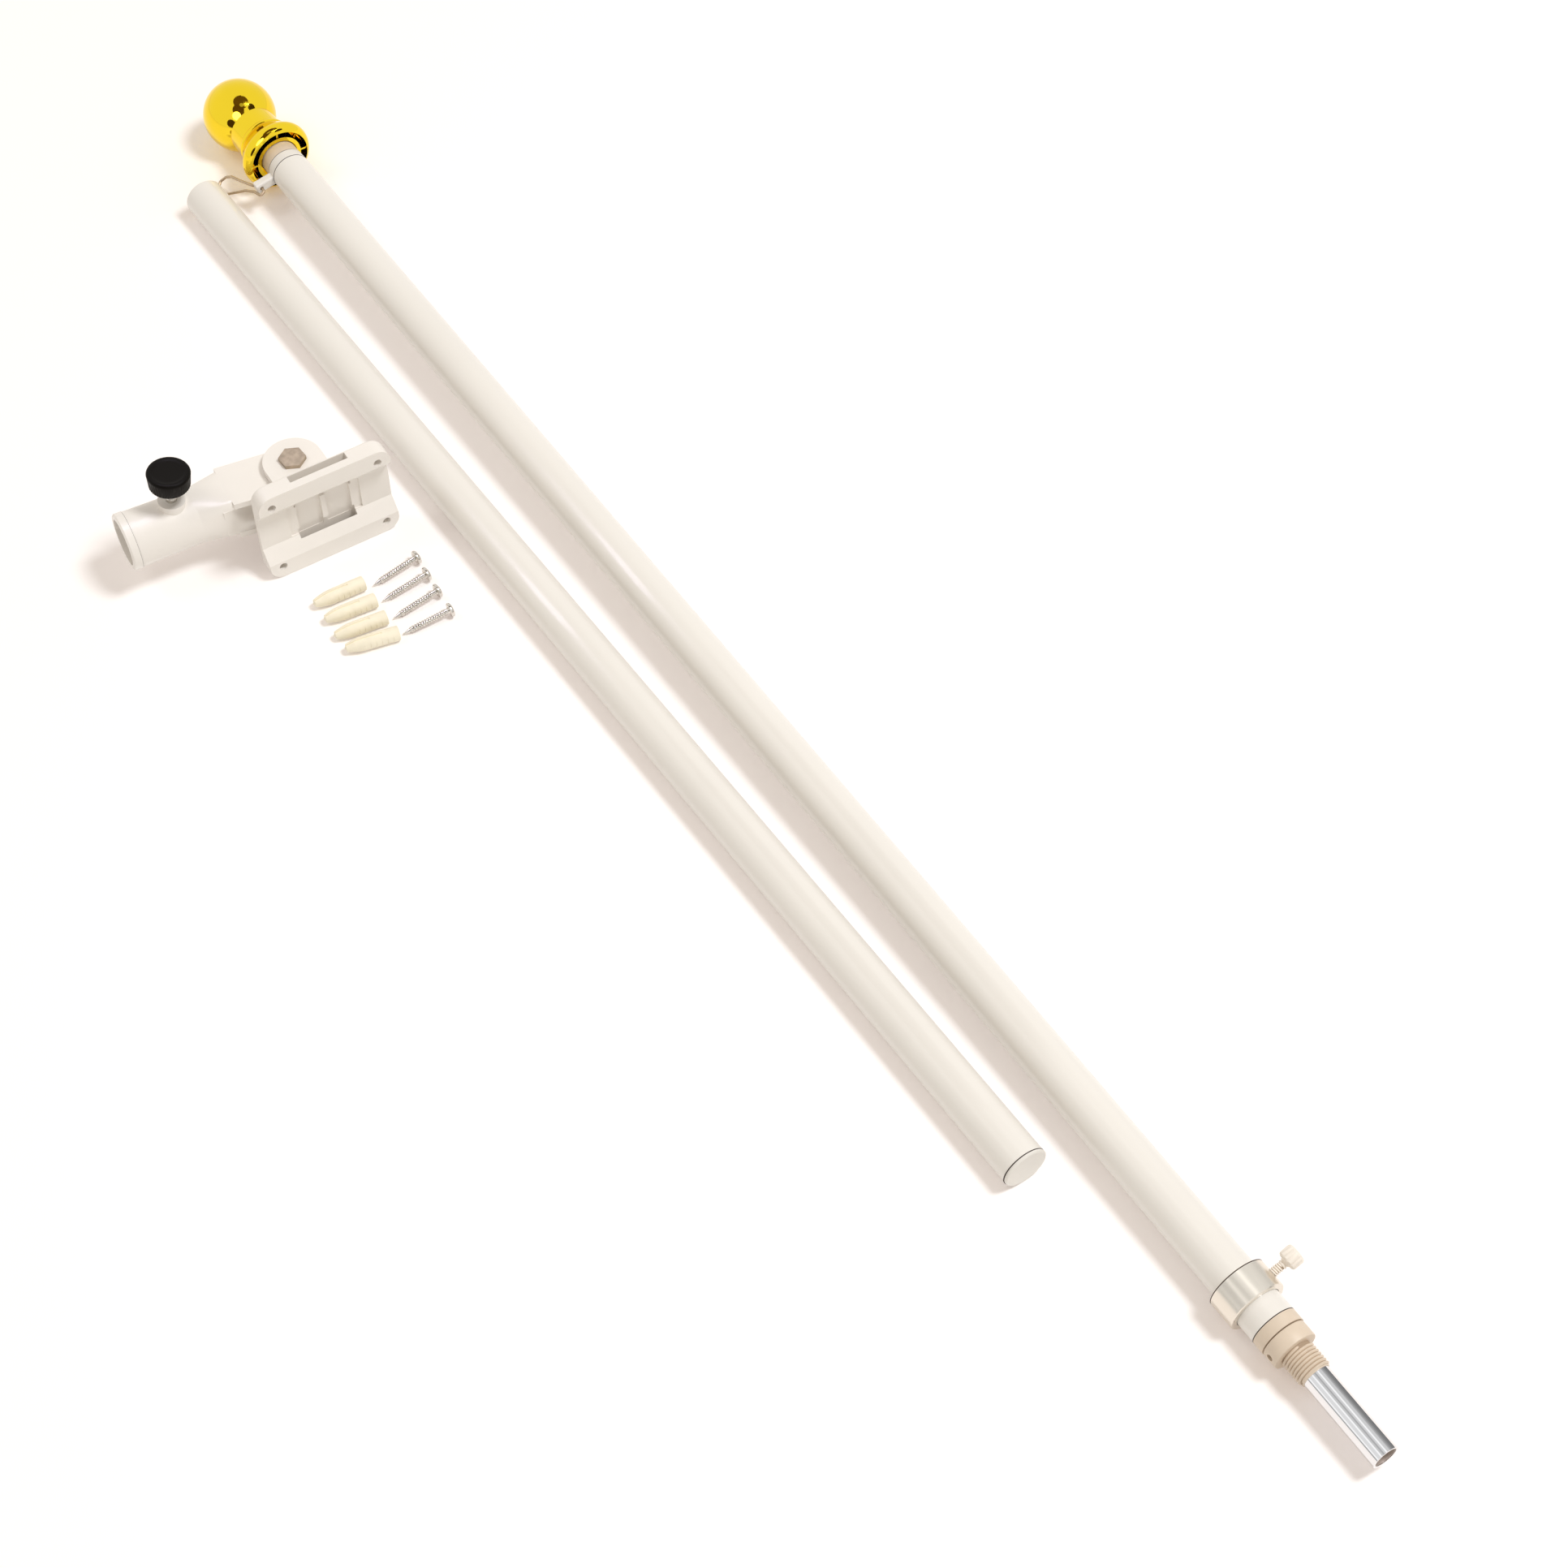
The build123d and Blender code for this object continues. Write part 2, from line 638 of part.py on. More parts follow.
# Pivot bolt and nut, which turn with the base
hex_r = hex_across_flats / 2 / cos(radians(30))
bolt_end = ear_end + nut_height + bolt_tip
with BuildPart() as pivot_bolt:
    with BuildSketch(pivot_frame.offset(ear_end)):
        RegularPolygon(hex_r, 6)
    extrude(amount=hex_height)
    with BuildSketch(pivot_frame.offset(-bolt_end)):
        Circle(bolt_d / 2)
    extrude(amount=bolt_end + ear_end)
pivot_bolt.part.label = "pivot_bolt"
pieces.append(pivot_bolt.part)
with BuildPart() as pivot_nut:
    with BuildSketch(pivot_frame.offset(-ear_end)):
        RegularPolygon(hex_r, 6)
        Circle(bolt_d / 2, mode=Mode.SUBTRACT)
    extrude(amount=-nut_height)
pivot_nut.part.label = "pivot_nut"
pieces.append(pivot_nut.part)

# Black clamp knob and its steel stud, which stops short of the socket's bore
stud_start = socket_bore_d / 2 + stud_end_gap
knob_start = mouth_r + boss_height + knob_gap
stud_end = knob_start + knob_height / 2
with BuildPart() as knob:
    with BuildSketch(knob_frame.offset(knob_start)):
        Circle(knob_d / 2 - knob_taper)
    with BuildSketch(knob_frame.offset(knob_start + knob_height)):
        Circle(knob_d / 2)
    loft()
    chamfer(knob.edges().filter_by(GeomType.CIRCLE), knob_edge)
    with BuildSketch(knob_frame.offset(knob_start)):
        Circle(knob_stud_d / 2)
    extrude(amount=knob_height / 2, mode=Mode.SUBTRACT)
knob.part.label = "clamp_knob"
pieces.append(knob.part)
pieces.append(ring_between(knob_frame, knob_stud_d, 0, stud_start, stud_end, "knob_stud"))

# Four pan-head wood screws on the floor, each resting on its head's rim and its shank
shoulder = wood_screw_length - wood_screw_tip
head_r = wood_screw_head_d / 2
shank_r = wood_screw_d / 2
dip = atan2(head_r - shank_r, shoulder - wood_screw_head_height)
screw_rest = head_r * cos(dip) + wood_screw_head_height * sin(dip) + floor_gap
for number, (head_x, head_y, turn) in enumerate(wood_screw_heads, start=1):
    heading = radians(-90 + turn)
    screw_dir = Vector(cos(heading) * cos(dip), sin(heading) * cos(dip), -sin(dip))
    lie = Plane(origin=(head_x, head_y, screw_rest), x_dir=Vector(0, 0, 1).cross(screw_dir), z_dir=screw_dir)
    with BuildPart() as wood_screw:
        with BuildSketch(section_of(lie)):
            with BuildLine():
                Polyline(
                    (0, wood_screw_head_flat_d / 2),
                    (0, 0),
                    (wood_screw_length, 0),
                    (wood_screw_length, wood_screw_tip_r),
                    (shoulder, shank_r),
                    (wood_screw_head_height, shank_r),
                    (wood_screw_head_height, head_r),
                    (wood_screw_head_edge, head_r),
                )
                TangentArc((wood_screw_head_edge, head_r), (0, wood_screw_head_flat_d / 2), tangent=(-1, 0))
            make_face()
        revolve(axis=axis_of(lie))
    wood_screw.part.label = f"wood_screw_{number}"
    pieces.append(wood_screw.part)

# Four wall plugs on the floor, each open at its wide end and rounded at its nose
plug_r = plug_d / 2
for number, (end_x, end_y, turn) in enumerate(plug_ends, start=1):
    heading = radians(-90 - turn)
    plug_dir = Vector(cos(heading), sin(heading), 0)
    lie = Plane(origin=(end_x, end_y, plug_r + floor_gap), x_dir=Vector(0, 0, 1).cross(plug_dir), z_dir=plug_dir)
    with BuildPart() as wall_plug:
        with BuildSketch(section_of(lie)):
            with BuildLine():
                Polyline(
                    (plug_length, 0),
                    (plug_bore_depth, 0),
                    (plug_bore_depth, plug_bore_d / 2),
                    (0, plug_bore_d / 2),
                    (0, plug_r - plug_edge),
                    (plug_edge, plug_r),
                    (plug_body_length, plug_r),
                )
                TangentArc((plug_body_length, plug_r), (plug_nose_length, plug_nose_d / 2), tangent=(1, 0))
                Line((plug_nose_length, plug_nose_d / 2), (plug_length, 0))
            make_face()
        revolve(axis=axis_of(lie))
    wall_plug.part.label = f"wall_plug_{number}"
    pieces.append(wall_plug.part)

# The layout is turned so that the wall face looks to +X, and the origin goes under its middle
turn_layout = Location((0, 0, 0), (0, 0, plate_turn_deg))
turned_pieces = [piece.moved(turn_layout) for piece in pieces]
box = Compound(children=[Part(piece.wrapped) for piece in turned_pieces]).bounding_box()
to_origin = Vector(-(box.min.X + box.max.X) / 2, -(box.min.Y + box.max.Y) / 2, -box.min.Z)
os.makedirs("parts", exist_ok=True)
for piece, turned_piece in zip(pieces, turned_pieces):
    placed = turned_piece.moved(Location(to_origin))
    placed.label = piece.label
    export_step(placed, f"parts/{piece.label}.step")
print("origin moved by", to_origin, "box", box.size)
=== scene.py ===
"""Looks for a two-section wall flagpole kit that lies on a pale floor."""

import json
from math import atan2, ceil, cos, pi, radians, sin, sqrt

import bmesh
import bpy
import numpy as np
from mathutils import Matrix, Vector


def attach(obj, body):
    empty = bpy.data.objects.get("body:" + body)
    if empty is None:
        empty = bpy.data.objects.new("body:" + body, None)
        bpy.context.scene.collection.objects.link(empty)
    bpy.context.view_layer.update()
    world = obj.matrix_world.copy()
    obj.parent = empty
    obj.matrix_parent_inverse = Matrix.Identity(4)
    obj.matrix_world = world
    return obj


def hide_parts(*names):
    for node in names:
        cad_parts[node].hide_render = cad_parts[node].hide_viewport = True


bl_info = {
    "name": "Wall Flagpole Kit",
    "version": (1, 0, 0),
    "blender": (4, 5, 0),
    "location": "3D View > Sidebar > Flagpole",
    "description": "Builds the finishes and small parts of a wall flagpole kit",
    "category": "Object",
}

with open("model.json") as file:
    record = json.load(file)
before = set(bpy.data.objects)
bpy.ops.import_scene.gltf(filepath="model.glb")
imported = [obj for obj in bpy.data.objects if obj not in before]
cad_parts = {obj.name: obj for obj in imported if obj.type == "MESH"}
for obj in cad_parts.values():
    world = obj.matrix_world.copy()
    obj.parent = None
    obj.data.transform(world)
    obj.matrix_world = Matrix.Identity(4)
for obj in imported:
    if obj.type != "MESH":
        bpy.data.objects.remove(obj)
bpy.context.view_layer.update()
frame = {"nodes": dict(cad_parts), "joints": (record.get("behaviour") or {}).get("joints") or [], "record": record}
NODES = frame["nodes"]
JOINTS = {joint["name"]: joint for joint in frame["joints"]}

UP = Vector((0, 0, 1))
SWIVEL = Vector(JOINTS["staff_spin"]["pos_m"])
STAFF_DIR = Vector(JOINTS["staff_spin"]["axis"]).normalized()
STAFF_SIDE = STAFF_DIR.cross(UP).normalized()
POLE_HEADING = atan2(STAFF_DIR.y, STAFF_DIR.x)
RING_SCREW = Vector(JOINTS["ring_screw_turn"]["pos_m"])
RING_SCREW_DIR = Vector(JOINTS["ring_screw_turn"]["axis"]).normalized()
KNOB = Vector(JOINTS["knob_turn"]["pos_m"])
KNOB_DIR = Vector(JOINTS["knob_turn"]["axis"]).normalized()
SOCKET = next(mount for mount in frame["record"]["mounts"] if mount["name"] == "pole_socket")
SCREW_NODES = sorted(name for name in NODES if name.startswith("wood_screw"))
PLUG_NODES = sorted(name for name in NODES if name.startswith("wall_plug"))


# Measuring the frame

def vertices_of(node):
    """A node's vertices in metres, one row each."""
    return np.array([v.co for v in NODES[node].data.vertices], float)


def spread_round(node, origin, direction):
    """Where each vertex of a node lies along a line, and how far it is from the line."""
    points = vertices_of(node) - np.array(origin)
    along = points @ np.array(direction)
    return along, np.linalg.norm(points - np.outer(along, np.array(direction)), axis=1)


def reach_along(node, origin, direction):
    """How far a node reaches along a line, and its largest distance from it."""
    along, across = spread_round(node, origin, direction)
    return along.min(), along.max(), across.max()


def long_axis_of(node):
    """The middle of each end of a long round node, the first one at its lower Y."""
    points = vertices_of(node)
    middle = (points.min(0) + points.max(0)) / 2
    _, _, axes = np.linalg.svd(points - points.mean(0), full_matrices=False)
    direction = axes[0] if axes[0][1] > 0 else -axes[0]
    along = (points - middle) @ direction
    end_depth = 0.0008
    ends = []
    for low, high in ((along.min(), along.min() + end_depth), (along.max() - end_depth, along.max())):
        near = points[(along >= low) & (along <= high)]
        ends.append(Vector(near.mean(0)))
    return ends


# The lower tube from its near end to its far end
LOWER_FAR, LOWER_NEAR = sorted(long_axis_of("lower_tube"), key=lambda end: end.x)
LOWER_LINE = (LOWER_NEAR, (LOWER_FAR - LOWER_NEAR).normalized())


# Making meshes

SQUARE = ((-1, -1), (1, -1), (1, 1), (-1, 1))


def turned_to(origin, direction, up=UP):
    """Matrix whose Z runs along the direction and whose X leans to up."""
    z = direction.normalized()
    x = up - z * up.dot(z)
    if x.length < 1e-6:
        x = Vector((1, 0, 0)) - z * z.x
    x.normalize()
    y = z.cross(x)
    return Matrix.Translation(origin) @ Matrix((x, y, z)).transposed().to_4x4()


def finish_mesh(name, bm, place, material, sharp=35.0):
    """Puts a bmesh into the scene with its place in its mesh."""
    bmesh.ops.recalc_face_normals(bm, faces=bm.faces)
    mesh = bpy.data.meshes.new(name)
    bm.to_mesh(mesh)
    bm.free()
    mesh.transform(place)
    mesh.shade_smooth()
    mesh.set_sharp_from_angle(angle=radians(sharp))
    mesh.materials.append(material)
    piece = bpy.data.objects.new(name, mesh)
    bpy.context.scene.collection.objects.link(piece)
    return piece


def skin_rings(bm, rings, close_ends=True):
    """Faces between rings of vertices that have the same count."""
    count = len(rings[0])
    for low, high in zip(rings, rings[1:]):
        for i in range(count):
            j = (i + 1) % count
            bm.faces.new((low[i], low[j], high[j], high[i]))
    if close_ends:
        bm.faces.new(list(reversed(rings[0])))
        bm.faces.new(rings[-1])


def lathe(name, profile, place, material, segments=96, shape=None, sharp=35.0, hollow=False):
    """Turns (station, radius) pairs about Z; shape(angle, station, radius) may change a radius.
    A hollow one joins its last ring to its first."""
    bm = bmesh.new()
    rings = []
    for station, radius in profile:
        ring = []
        for i in range(segments):
            angle = 2 * pi * i / segments
            r = shape(angle, station, radius) if shape else radius
            ring.append(bm.verts.new((r * cos(angle), r * sin(angle), station)))
        rings.append(ring)
    if hollow:
        rings.append(rings[0])
    skin_rings(bm, rings, close_ends=not hollow)
    return finish_mesh(name, bm, place, material, sharp)


def cut_away(piece, cutter, sharp=35.0):
    """Takes the cutter's volume out of a piece, and removes the cutter."""
    cut = piece.modifiers.new("cut", "BOOLEAN")
    cut.object = cutter
    cut.operation = "DIFFERENCE"
    cut.solver = "EXACT"
    bpy.context.view_layer.update()
    made = piece.evaluated_get(bpy.context.evaluated_depsgraph_get())
    mesh = bpy.data.meshes.new_from_object(made)
    piece.modifiers.clear()
    piece.data = mesh
    mesh.shade_smooth()
    mesh.set_sharp_from_angle(angle=radians(sharp))
    bpy.data.objects.remove(cutter)


def wedge(name, place, top, bottom, low, high, material):
    """A block that tapers from a top rectangle to a bottom one along Z."""
    bm = bmesh.new()
    rings = []
    for station, (width, depth) in ((low, top), (high, bottom)):
        rings.append([bm.verts.new((x * width / 2, y * depth / 2, station)) for x, y in SQUARE])
    skin_rings(bm, rings)
    return finish_mesh(name, bm, place, material)


def thread(name, core, crest, pitch, start, end, place, material, run_out=0.6, steps=48, root_share=0.9):
    """One helical ridge round Z from start to end, which fades at both ends."""
    bm = bmesh.new()
    turns = (end - start) / pitch
    count = max(8, int(ceil(turns * steps)))
    rings = []
    half = pitch * root_share / 2
    for i in range(count + 1):
        turn = turns * i / count
        angle = 2 * pi * turn
        middle = start + turn * pitch
        fade = min(1.0, turn / run_out, (turns - turn) / run_out)
        top = core + (crest - core) * max(fade, 0.02)
        low = core - (crest - core) * 0.25
        ring = []
        for r, share in ((low, -1), (core, -0.92), (top, -0.22), (top, 0.22), (core, 0.92), (low, 1)):
            ring.append(bm.verts.new((r * cos(angle), r * sin(angle), middle + half * share)))
        rings.append(ring)
    skin_rings(bm, rings)
    return finish_mesh(name, bm, place, material, sharp=60.0)


# How far a joint line stands out of a smooth tube, and out of a surface with facets, in metres
FLUSH_LIFT = 0.00002
PROUD_LIFT = 0.00006
# How far a sleeve of painted groove shade stands out of the thread's core
SLEEVE_LIFT = 0.00004


def ring_line(name, origin, direction, middle, radius, width, lift, material, body):
    """A fine dark ring round a line, sunk into the piece that it runs round."""
    low, high = middle - width / 2, middle + width / 2
    root, shoulder = radius - 0.0003, radius + lift * 0.6
    profile = [(low, root), (low, shoulder), (middle, radius + lift), (high, shoulder), (high, root)]
    ring = lathe(name, profile, turned_to(origin, direction), material, segments=128, hollow=True)
    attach(ring, body)
    return ring


def joint_line(name, node, origin, direction, station, width, material, body):
    """A ring line where two round pieces meet; the station counts from the node's near end."""
    start, _, radius = reach_along(node, origin, direction)
    return ring_line(name, origin, direction, start + station, radius, width, FLUSH_LIFT, material, body)


# Making materials

def add_node(tree, kind, **values):
    """A shader node; each value goes to a setting of that name, or else to the socket of that name."""
    node = tree.nodes.new(kind)
    for key, value in values.items():
        if hasattr(node, key):
            setattr(node, key, value)
        else:
            node.inputs[key].default_value = value
    return node


def plain_material(name, colour, roughness, metallic=0.0, coat=0.0, specular=0.5):
    material = bpy.data.materials.new(name)
    material.use_nodes = True
    sockets = material.node_tree.nodes["Principled BSDF"].inputs
    for socket, value in (("Base Color", (*colour, 1)), ("Roughness", roughness), ("Metallic", metallic),
                          ("Coat Weight", coat), ("Coat Roughness", 0.08), ("Specular IOR Level", specular)):
        sockets[socket].default_value = value
    return material


def surface_noise(tree, scale, detail, stretch):
    """Noise over the surface in metres, with X along the poles and a stretch for each axis."""
    place = add_node(tree, "ShaderNodeTexCoord")
    mapping = add_node(tree, "ShaderNodeMapping", vector_type="TEXTURE", Rotation=(0, 0, POLE_HEADING),
                       Scale=[1 / share for share in stretch])
    noise = add_node(tree, "ShaderNodeTexNoise", Scale=scale, Detail=detail)
    tree.links.new(place.outputs["Object"], mapping.inputs["Vector"])
    tree.links.new(mapping.outputs["Vector"], noise.inputs["Vector"])
    return noise.outputs["Fac"]


def vary_colour(material, colour, amount, scale):
    """Soft change between a darker and a lighter shade of the colour."""
    tree = material.node_tree
    ramp = tree.nodes.new("ShaderNodeValToRGB")
    dark, light = ramp.color_ramp.elements
    dark.position = 0.3
    light.position = 0.7
    dark.color = (*(c * (1 - amount) for c in colour), 1)
    light.color = (*(min(1, c * (1 + amount * 0.5)) for c in colour), 1)
    tree.links.new(surface_noise(tree, scale, 3.0, (1, 1, 1)), ramp.inputs["Fac"])
    tree.links.new(ramp.outputs["Color"], tree.nodes["Principled BSDF"].inputs["Base Color"])


def vary_roughness(material, low, high, scale, stretch=(1, 1, 1)):
    """Patches of more and less polish."""
    tree = material.node_tree
    spread = add_node(tree, "ShaderNodeMapRange")
    spread.inputs["To Min"].default_value = low
    spread.inputs["To Max"].default_value = high
    tree.links.new(surface_noise(tree, scale, 4.0, stretch), spread.inputs["Value"])
    tree.links.new(spread.outputs["Result"], tree.nodes["Principled BSDF"].inputs["Roughness"])


def rough_surface(material, scale, strength, distance, stretch=(1, 1, 1)):
    """Fine relief."""
    tree = material.node_tree
    bump = add_node(tree, "ShaderNodeBump", Strength=strength, Distance=distance)
    tree.links.new(surface_noise(tree, scale, 3.0, stretch), bump.inputs["Height"])
    tree.links.new(bump.outputs["Normal"], tree.nodes["Principled BSDF"].inputs["Normal"])


def gloss_paint(colour):
    material = plain_material("gloss_white_paint", colour, 0.3, coat=0.35)
    vary_colour(material, colour, 0.02, 9.0)
    rough_surface(material, 700.0, 0.05, 0.0002)
    return material


def powder_coat(colour):
    material = plain_material("white_powder_coat", colour, 0.38, coat=0.2)
    vary_colour(material, colour, 0.025, 25.0)
    rough_surface(material, 900.0, 0.12, 0.0003)
    return material


def white_moulding(colour, name="white_moulding", roughness=0.42):
    material = plain_material(name, colour, roughness)
    vary_colour(material, colour, 0.03, 60.0)
    rough_surface(material, 1200.0, 0.08, 0.0002)
    return material


def milky_moulding(colour):
    return white_moulding(colour, "milky_moulding", 0.4)


def beige_moulding(colour):
    material = plain_material("beige_moulding", colour, 0.45)
    vary_colour(material, colour, 0.06, 90.0)
    rough_surface(material, 1400.0, 0.12, 0.0002)
    return material


# Painted shade: a darker beige that stands in for the shade in the bottoms of the thread grooves
def groove_shade_paint(colour):
    material = plain_material("groove_shade_paint", colour, 0.6, specular=0.3)
    vary_colour(material, colour, 0.06, 90.0)
    return material


def cream_moulding(colour):
    material = plain_material("cream_moulding", colour, 0.55)
    vary_colour(material, colour, 0.05, 150.0)
    rough_surface(material, 1500.0, 0.1, 0.0002)
    return material


def bright_gold(colour):
    material = plain_material("bright_gold_plate", colour, 0.06, metallic=1.0)
    vary_colour(material, colour, 0.04, 30.0)
    rough_surface(material, 40.0, 0.015, 0.001)
    return material


def mirror_steel(colour):
    material = plain_material("mirror_steel", colour, 0.08, metallic=1.0)
    vary_roughness(material, 0.05, 0.13, 60.0, stretch=(0.5, 12, 12))
    rough_surface(material, 60.0, 0.02, 0.0004, stretch=(0.3, 12, 12))
    return material


def bore_steel(colour):
    material = plain_material("bore_steel", colour, 0.5, metallic=0.2)
    vary_colour(material, colour, 0.1, 200.0)
    return material


def turned_aluminium(colour):
    material = plain_material("turned_aluminium", colour, 0.24, metallic=0.85)
    vary_roughness(material, 0.2, 0.3, 90.0, stretch=(0.3, 8, 8))
    rough_surface(material, 120.0, 0.05, 0.0003, stretch=(0.2, 8, 8))
    return material


def zinc_plate(colour):
    material = plain_material("zinc_plate", colour, 0.2, metallic=1.0)
    vary_colour(material, colour, 0.15, 300.0)
    vary_roughness(material, 0.12, 0.26, 400.0)
    return material


def dull_steel(colour):
    material = plain_material("dull_steel", colour, 0.45, metallic=0.9)
    vary_colour(material, colour, 0.22, 260.0)
    vary_roughness(material, 0.35, 0.6, 300.0)
    rough_surface(material, 900.0, 0.15, 0.0002)
    return material


def joint_shadow(colour):
    material = plain_material("joint_shadow", colour, 0.7, specular=0.2)
    vary_colour(material, colour, 0.2, 400.0)
    return material


def black_moulding(colour):
    material = plain_material("black_moulding", colour, 0.45, specular=0.08)
    vary_roughness(material, 0.36, 0.5, 200.0)
    rough_surface(material, 1500.0, 0.1, 0.0002)
    return material


def spring_wire(colour):
    material = plain_material("spring_wire", colour, 0.34, metallic=0.95)
    vary_colour(material, colour, 0.15, 500.0)
    vary_roughness(material, 0.26, 0.45, 600.0)
    return material


def material_named(name, maker, colour):
    """A finish is made once and shared."""
    return bpy.data.materials.get(name) or maker(tuple(colour))


def dress(node, material):
    """Gives a carried-over node its finish."""
    mesh = NODES[node].data
    if not mesh.materials:
        mesh.materials.append(material)
    for index in range(len(mesh.materials)):
        mesh.materials[index] = material


# Sizes and colours that a user may change

def colour_setting(name, description, default):
    return bpy.props.FloatVectorProperty(
        name=name, description=description, subtype="COLOR", default=default, min=0, max=1)


def number_setting(name, description, default, low, high, **kind):
    """The kind is the number's unit or subtype."""
    return bpy.props.FloatProperty(
        name=name, description=description, default=default, min=low, max=high, **kind)


def length_setting(name, description, default, low, high):
    return number_setting(name, description, default, low, high, unit="LENGTH")


class PoleFinish(bpy.types.PropertyGroup):
    paint: colour_setting("Tube paint", "Warm white of both tubes", (0.88, 0.85, 0.80))
    white: colour_setting("White plastic", "Collar and end cap", (0.86, 0.83, 0.78))
    thumbscrew: colour_setting("Thumbscrew", "Milky plastic of the ring's thumbscrew", (0.97, 0.90, 0.81))
    beige: colour_setting("Beige plastic", "Neck, bushing, coupling and joint socket", (0.76, 0.64, 0.51))
    gold: colour_setting("Gold", "Bright plating of the finial", (0.90, 0.66, 0.03))
    steel: colour_setting("Steel", "Polished staff", (0.80, 0.80, 0.81))
    bore: colour_setting("Staff bore", "Dull inside of the staff's open end", (0.56, 0.48, 0.43))
    aluminium: colour_setting("Aluminium", "Turned flag ring", (0.80, 0.745, 0.66))
    # Painted shade in the bottoms of the plastic threads
    shaded_groove: colour_setting("Thread grooves", "Shaded bottoms of the plastic threads", (0.42, 0.32, 0.23))
    joint: colour_setting("Joint lines", "Fine dark lines where the round pieces meet", (0.05, 0.035, 0.03))
    joint_width: length_setting("Joint width", "Width of the fine joint lines", 0.0005, 0.0001, 0.001)
    wire: colour_setting("Wire", "Spring wire of the clip", (0.52, 0.40, 0.27))


class ThreadSizes(bpy.types.PropertyGroup):
    coupling_pitch: length_setting("Coupling pitch", "Pitch of the coupling's thread", 0.00185, 0.0005, 0.005)
    coupling_depth: length_setting("Coupling depth", "Depth of the coupling's thread", 0.0009, 0.0001, 0.002)
    screw_pitch: length_setting("Thumbscrew pitch", "Pitch of the thumbscrew's thread", 0.0012, 0.0004, 0.003)
    stud_pitch: length_setting("Stud pitch", "Pitch of the knob stud's thread", 0.0011, 0.0004, 0.003)
    wood_pitch: length_setting("Wood screw pitch", "Pitch of the wood screws' thread", 0.0016, 0.0005, 0.004)


class BracketFinish(bpy.types.PropertyGroup):
    coat: colour_setting("Powder coat", "White coat of the two castings", (0.92, 0.88, 0.83))
    black: colour_setting("Knob", "Black plastic of the knob", (0.004, 0.003, 0.002))
    bolt: colour_setting("Bolt", "Dull plated steel of the bolt and nut", (0.45, 0.37, 0.28))
    mouth_band: length_setting(
        "Mouth band", "Width of the raised band at the socket's mouth", 0.005, 0.001, 0.02)
    flutes: bpy.props.IntProperty(
        name="Flutes", description="Grip flutes round the knob", default=44, min=8, max=90)
    flute_depth: length_setting("Flute depth", "Depth of the knob's grip flutes", 0.0004, 0, 0.002)


class FixingFinish(bpy.types.PropertyGroup):
    zinc: colour_setting("Zinc", "Plating of the wood screws", (0.70, 0.67, 0.62))
    cream: colour_setting("Cream", "Plastic of the wall plugs", (0.98, 0.91, 0.73))
    tooth_spacing: length_setting(
        "Tooth spacing", "From tooth to tooth along a wall plug", 0.0034, 0.001, 0.006)
    tooth_depth: length_setting("Tooth depth", "Depth of a wall plug's teeth", 0.00035, 0, 0.001)


class StageSettings(bpy.types.PropertyGroup):
    floor: colour_setting("Floor", "Colour of the floor", (0.97, 0.97, 0.97))
    floor_glow: colour_setting(
        "Floor glow", "Colour that lifts the floor for the camera and for mirrors", (1.0, 0.75, 0.70))
    floor_glow_strength: number_setting("Floor glow level", "Level of the floor's lift", 0.15, 0, 1)
    floor_size: length_setting("Floor size", "Width of the floor", 12.0, 3, 60)
    key_strength: number_setting("Key light", "Power of the light on the right, in watts", 83.0, 0, 500)
    fill_strength: number_setting("Fill light", "Power of the light on the left, in watts", 16.0, 0, 500)
    sky_strength: number_setting("Sky", "Level of the light from all round", 0.52, 0, 2)
    sky_colour: colour_setting("Sky colour", "Colour of the light from all round", (1.0, 0.92, 0.82))
    mirror_sky: number_setting("Mirrored sky", "Level of the studio that metal reflects", 1.0, 0, 2)
    camera_distance: length_setting(
        "Camera distance", "From the camera to the point it looks at on the floor", 1.6008, 0.5, 6)
    camera_elevation: number_setting(
        "Camera elevation", "Height angle of the camera", radians(53.465), 0, pi / 2, subtype="ANGLE")
    camera_heading: number_setting(
        "Camera heading", "Direction of the camera's right side, from +X",
        radians(57.997), -pi, pi, subtype="ANGLE")
    camera_roll: number_setting(
        "Camera roll", "Small roll of the camera", radians(0.21), -0.5, 0.5, subtype="ANGLE")
    camera_lens: number_setting("Lens", "Focal length on a 36 mm wide sensor, in millimetres", 66.35, 20, 200)


# The floor point under the middle of the view, from the swivel
LOOK_FROM_SWIVEL = Vector((-0.41599, -0.02309, 0))
# Where the lamps hang: direction (right, away, up) as the camera sees it, and distance from that point
KEY_FROM = (0.46, -0.035, 1)
FILL_FROM = (-0.75, 0.1, 1)
LAMP_DISTANCE = 4.0

# Glowing cards seen only in reflections paint the bright and dark bands on the staff and the flag ring
# Cards round the staff: angle about its axis from level on the far side, and brightness up to the next
STAFF_CARDS = (
    (-32, 0.30), (-22, 0.14), (6, 0.26), (28, 0.34), (42, 0.48), (53, 0.74), (76, 1.15), (88, 0.78),
    (101, 0.50), (112, 0.70), (125, 1.15), (137, 0.88), (161, 1.15), (173, 0.45), (185, None),
)
# Softer cards that the flag ring mirrors
RING_CARDS = (
    (-20, 0.72), (25, 0.86), (55, 0.74), (80, 1.45), (92, 0.95), (108, 0.70), (126, 1.20), (137, 0.62),
    (160, 0.80), (172, 0.60), (185, None),
)
# These cards' distance from the axis, their reach along it, and where the staff's give way to the ring's
CARD_DISTANCE = 0.3
CARD_REACH = 0.3
RING_SIDE = -0.072
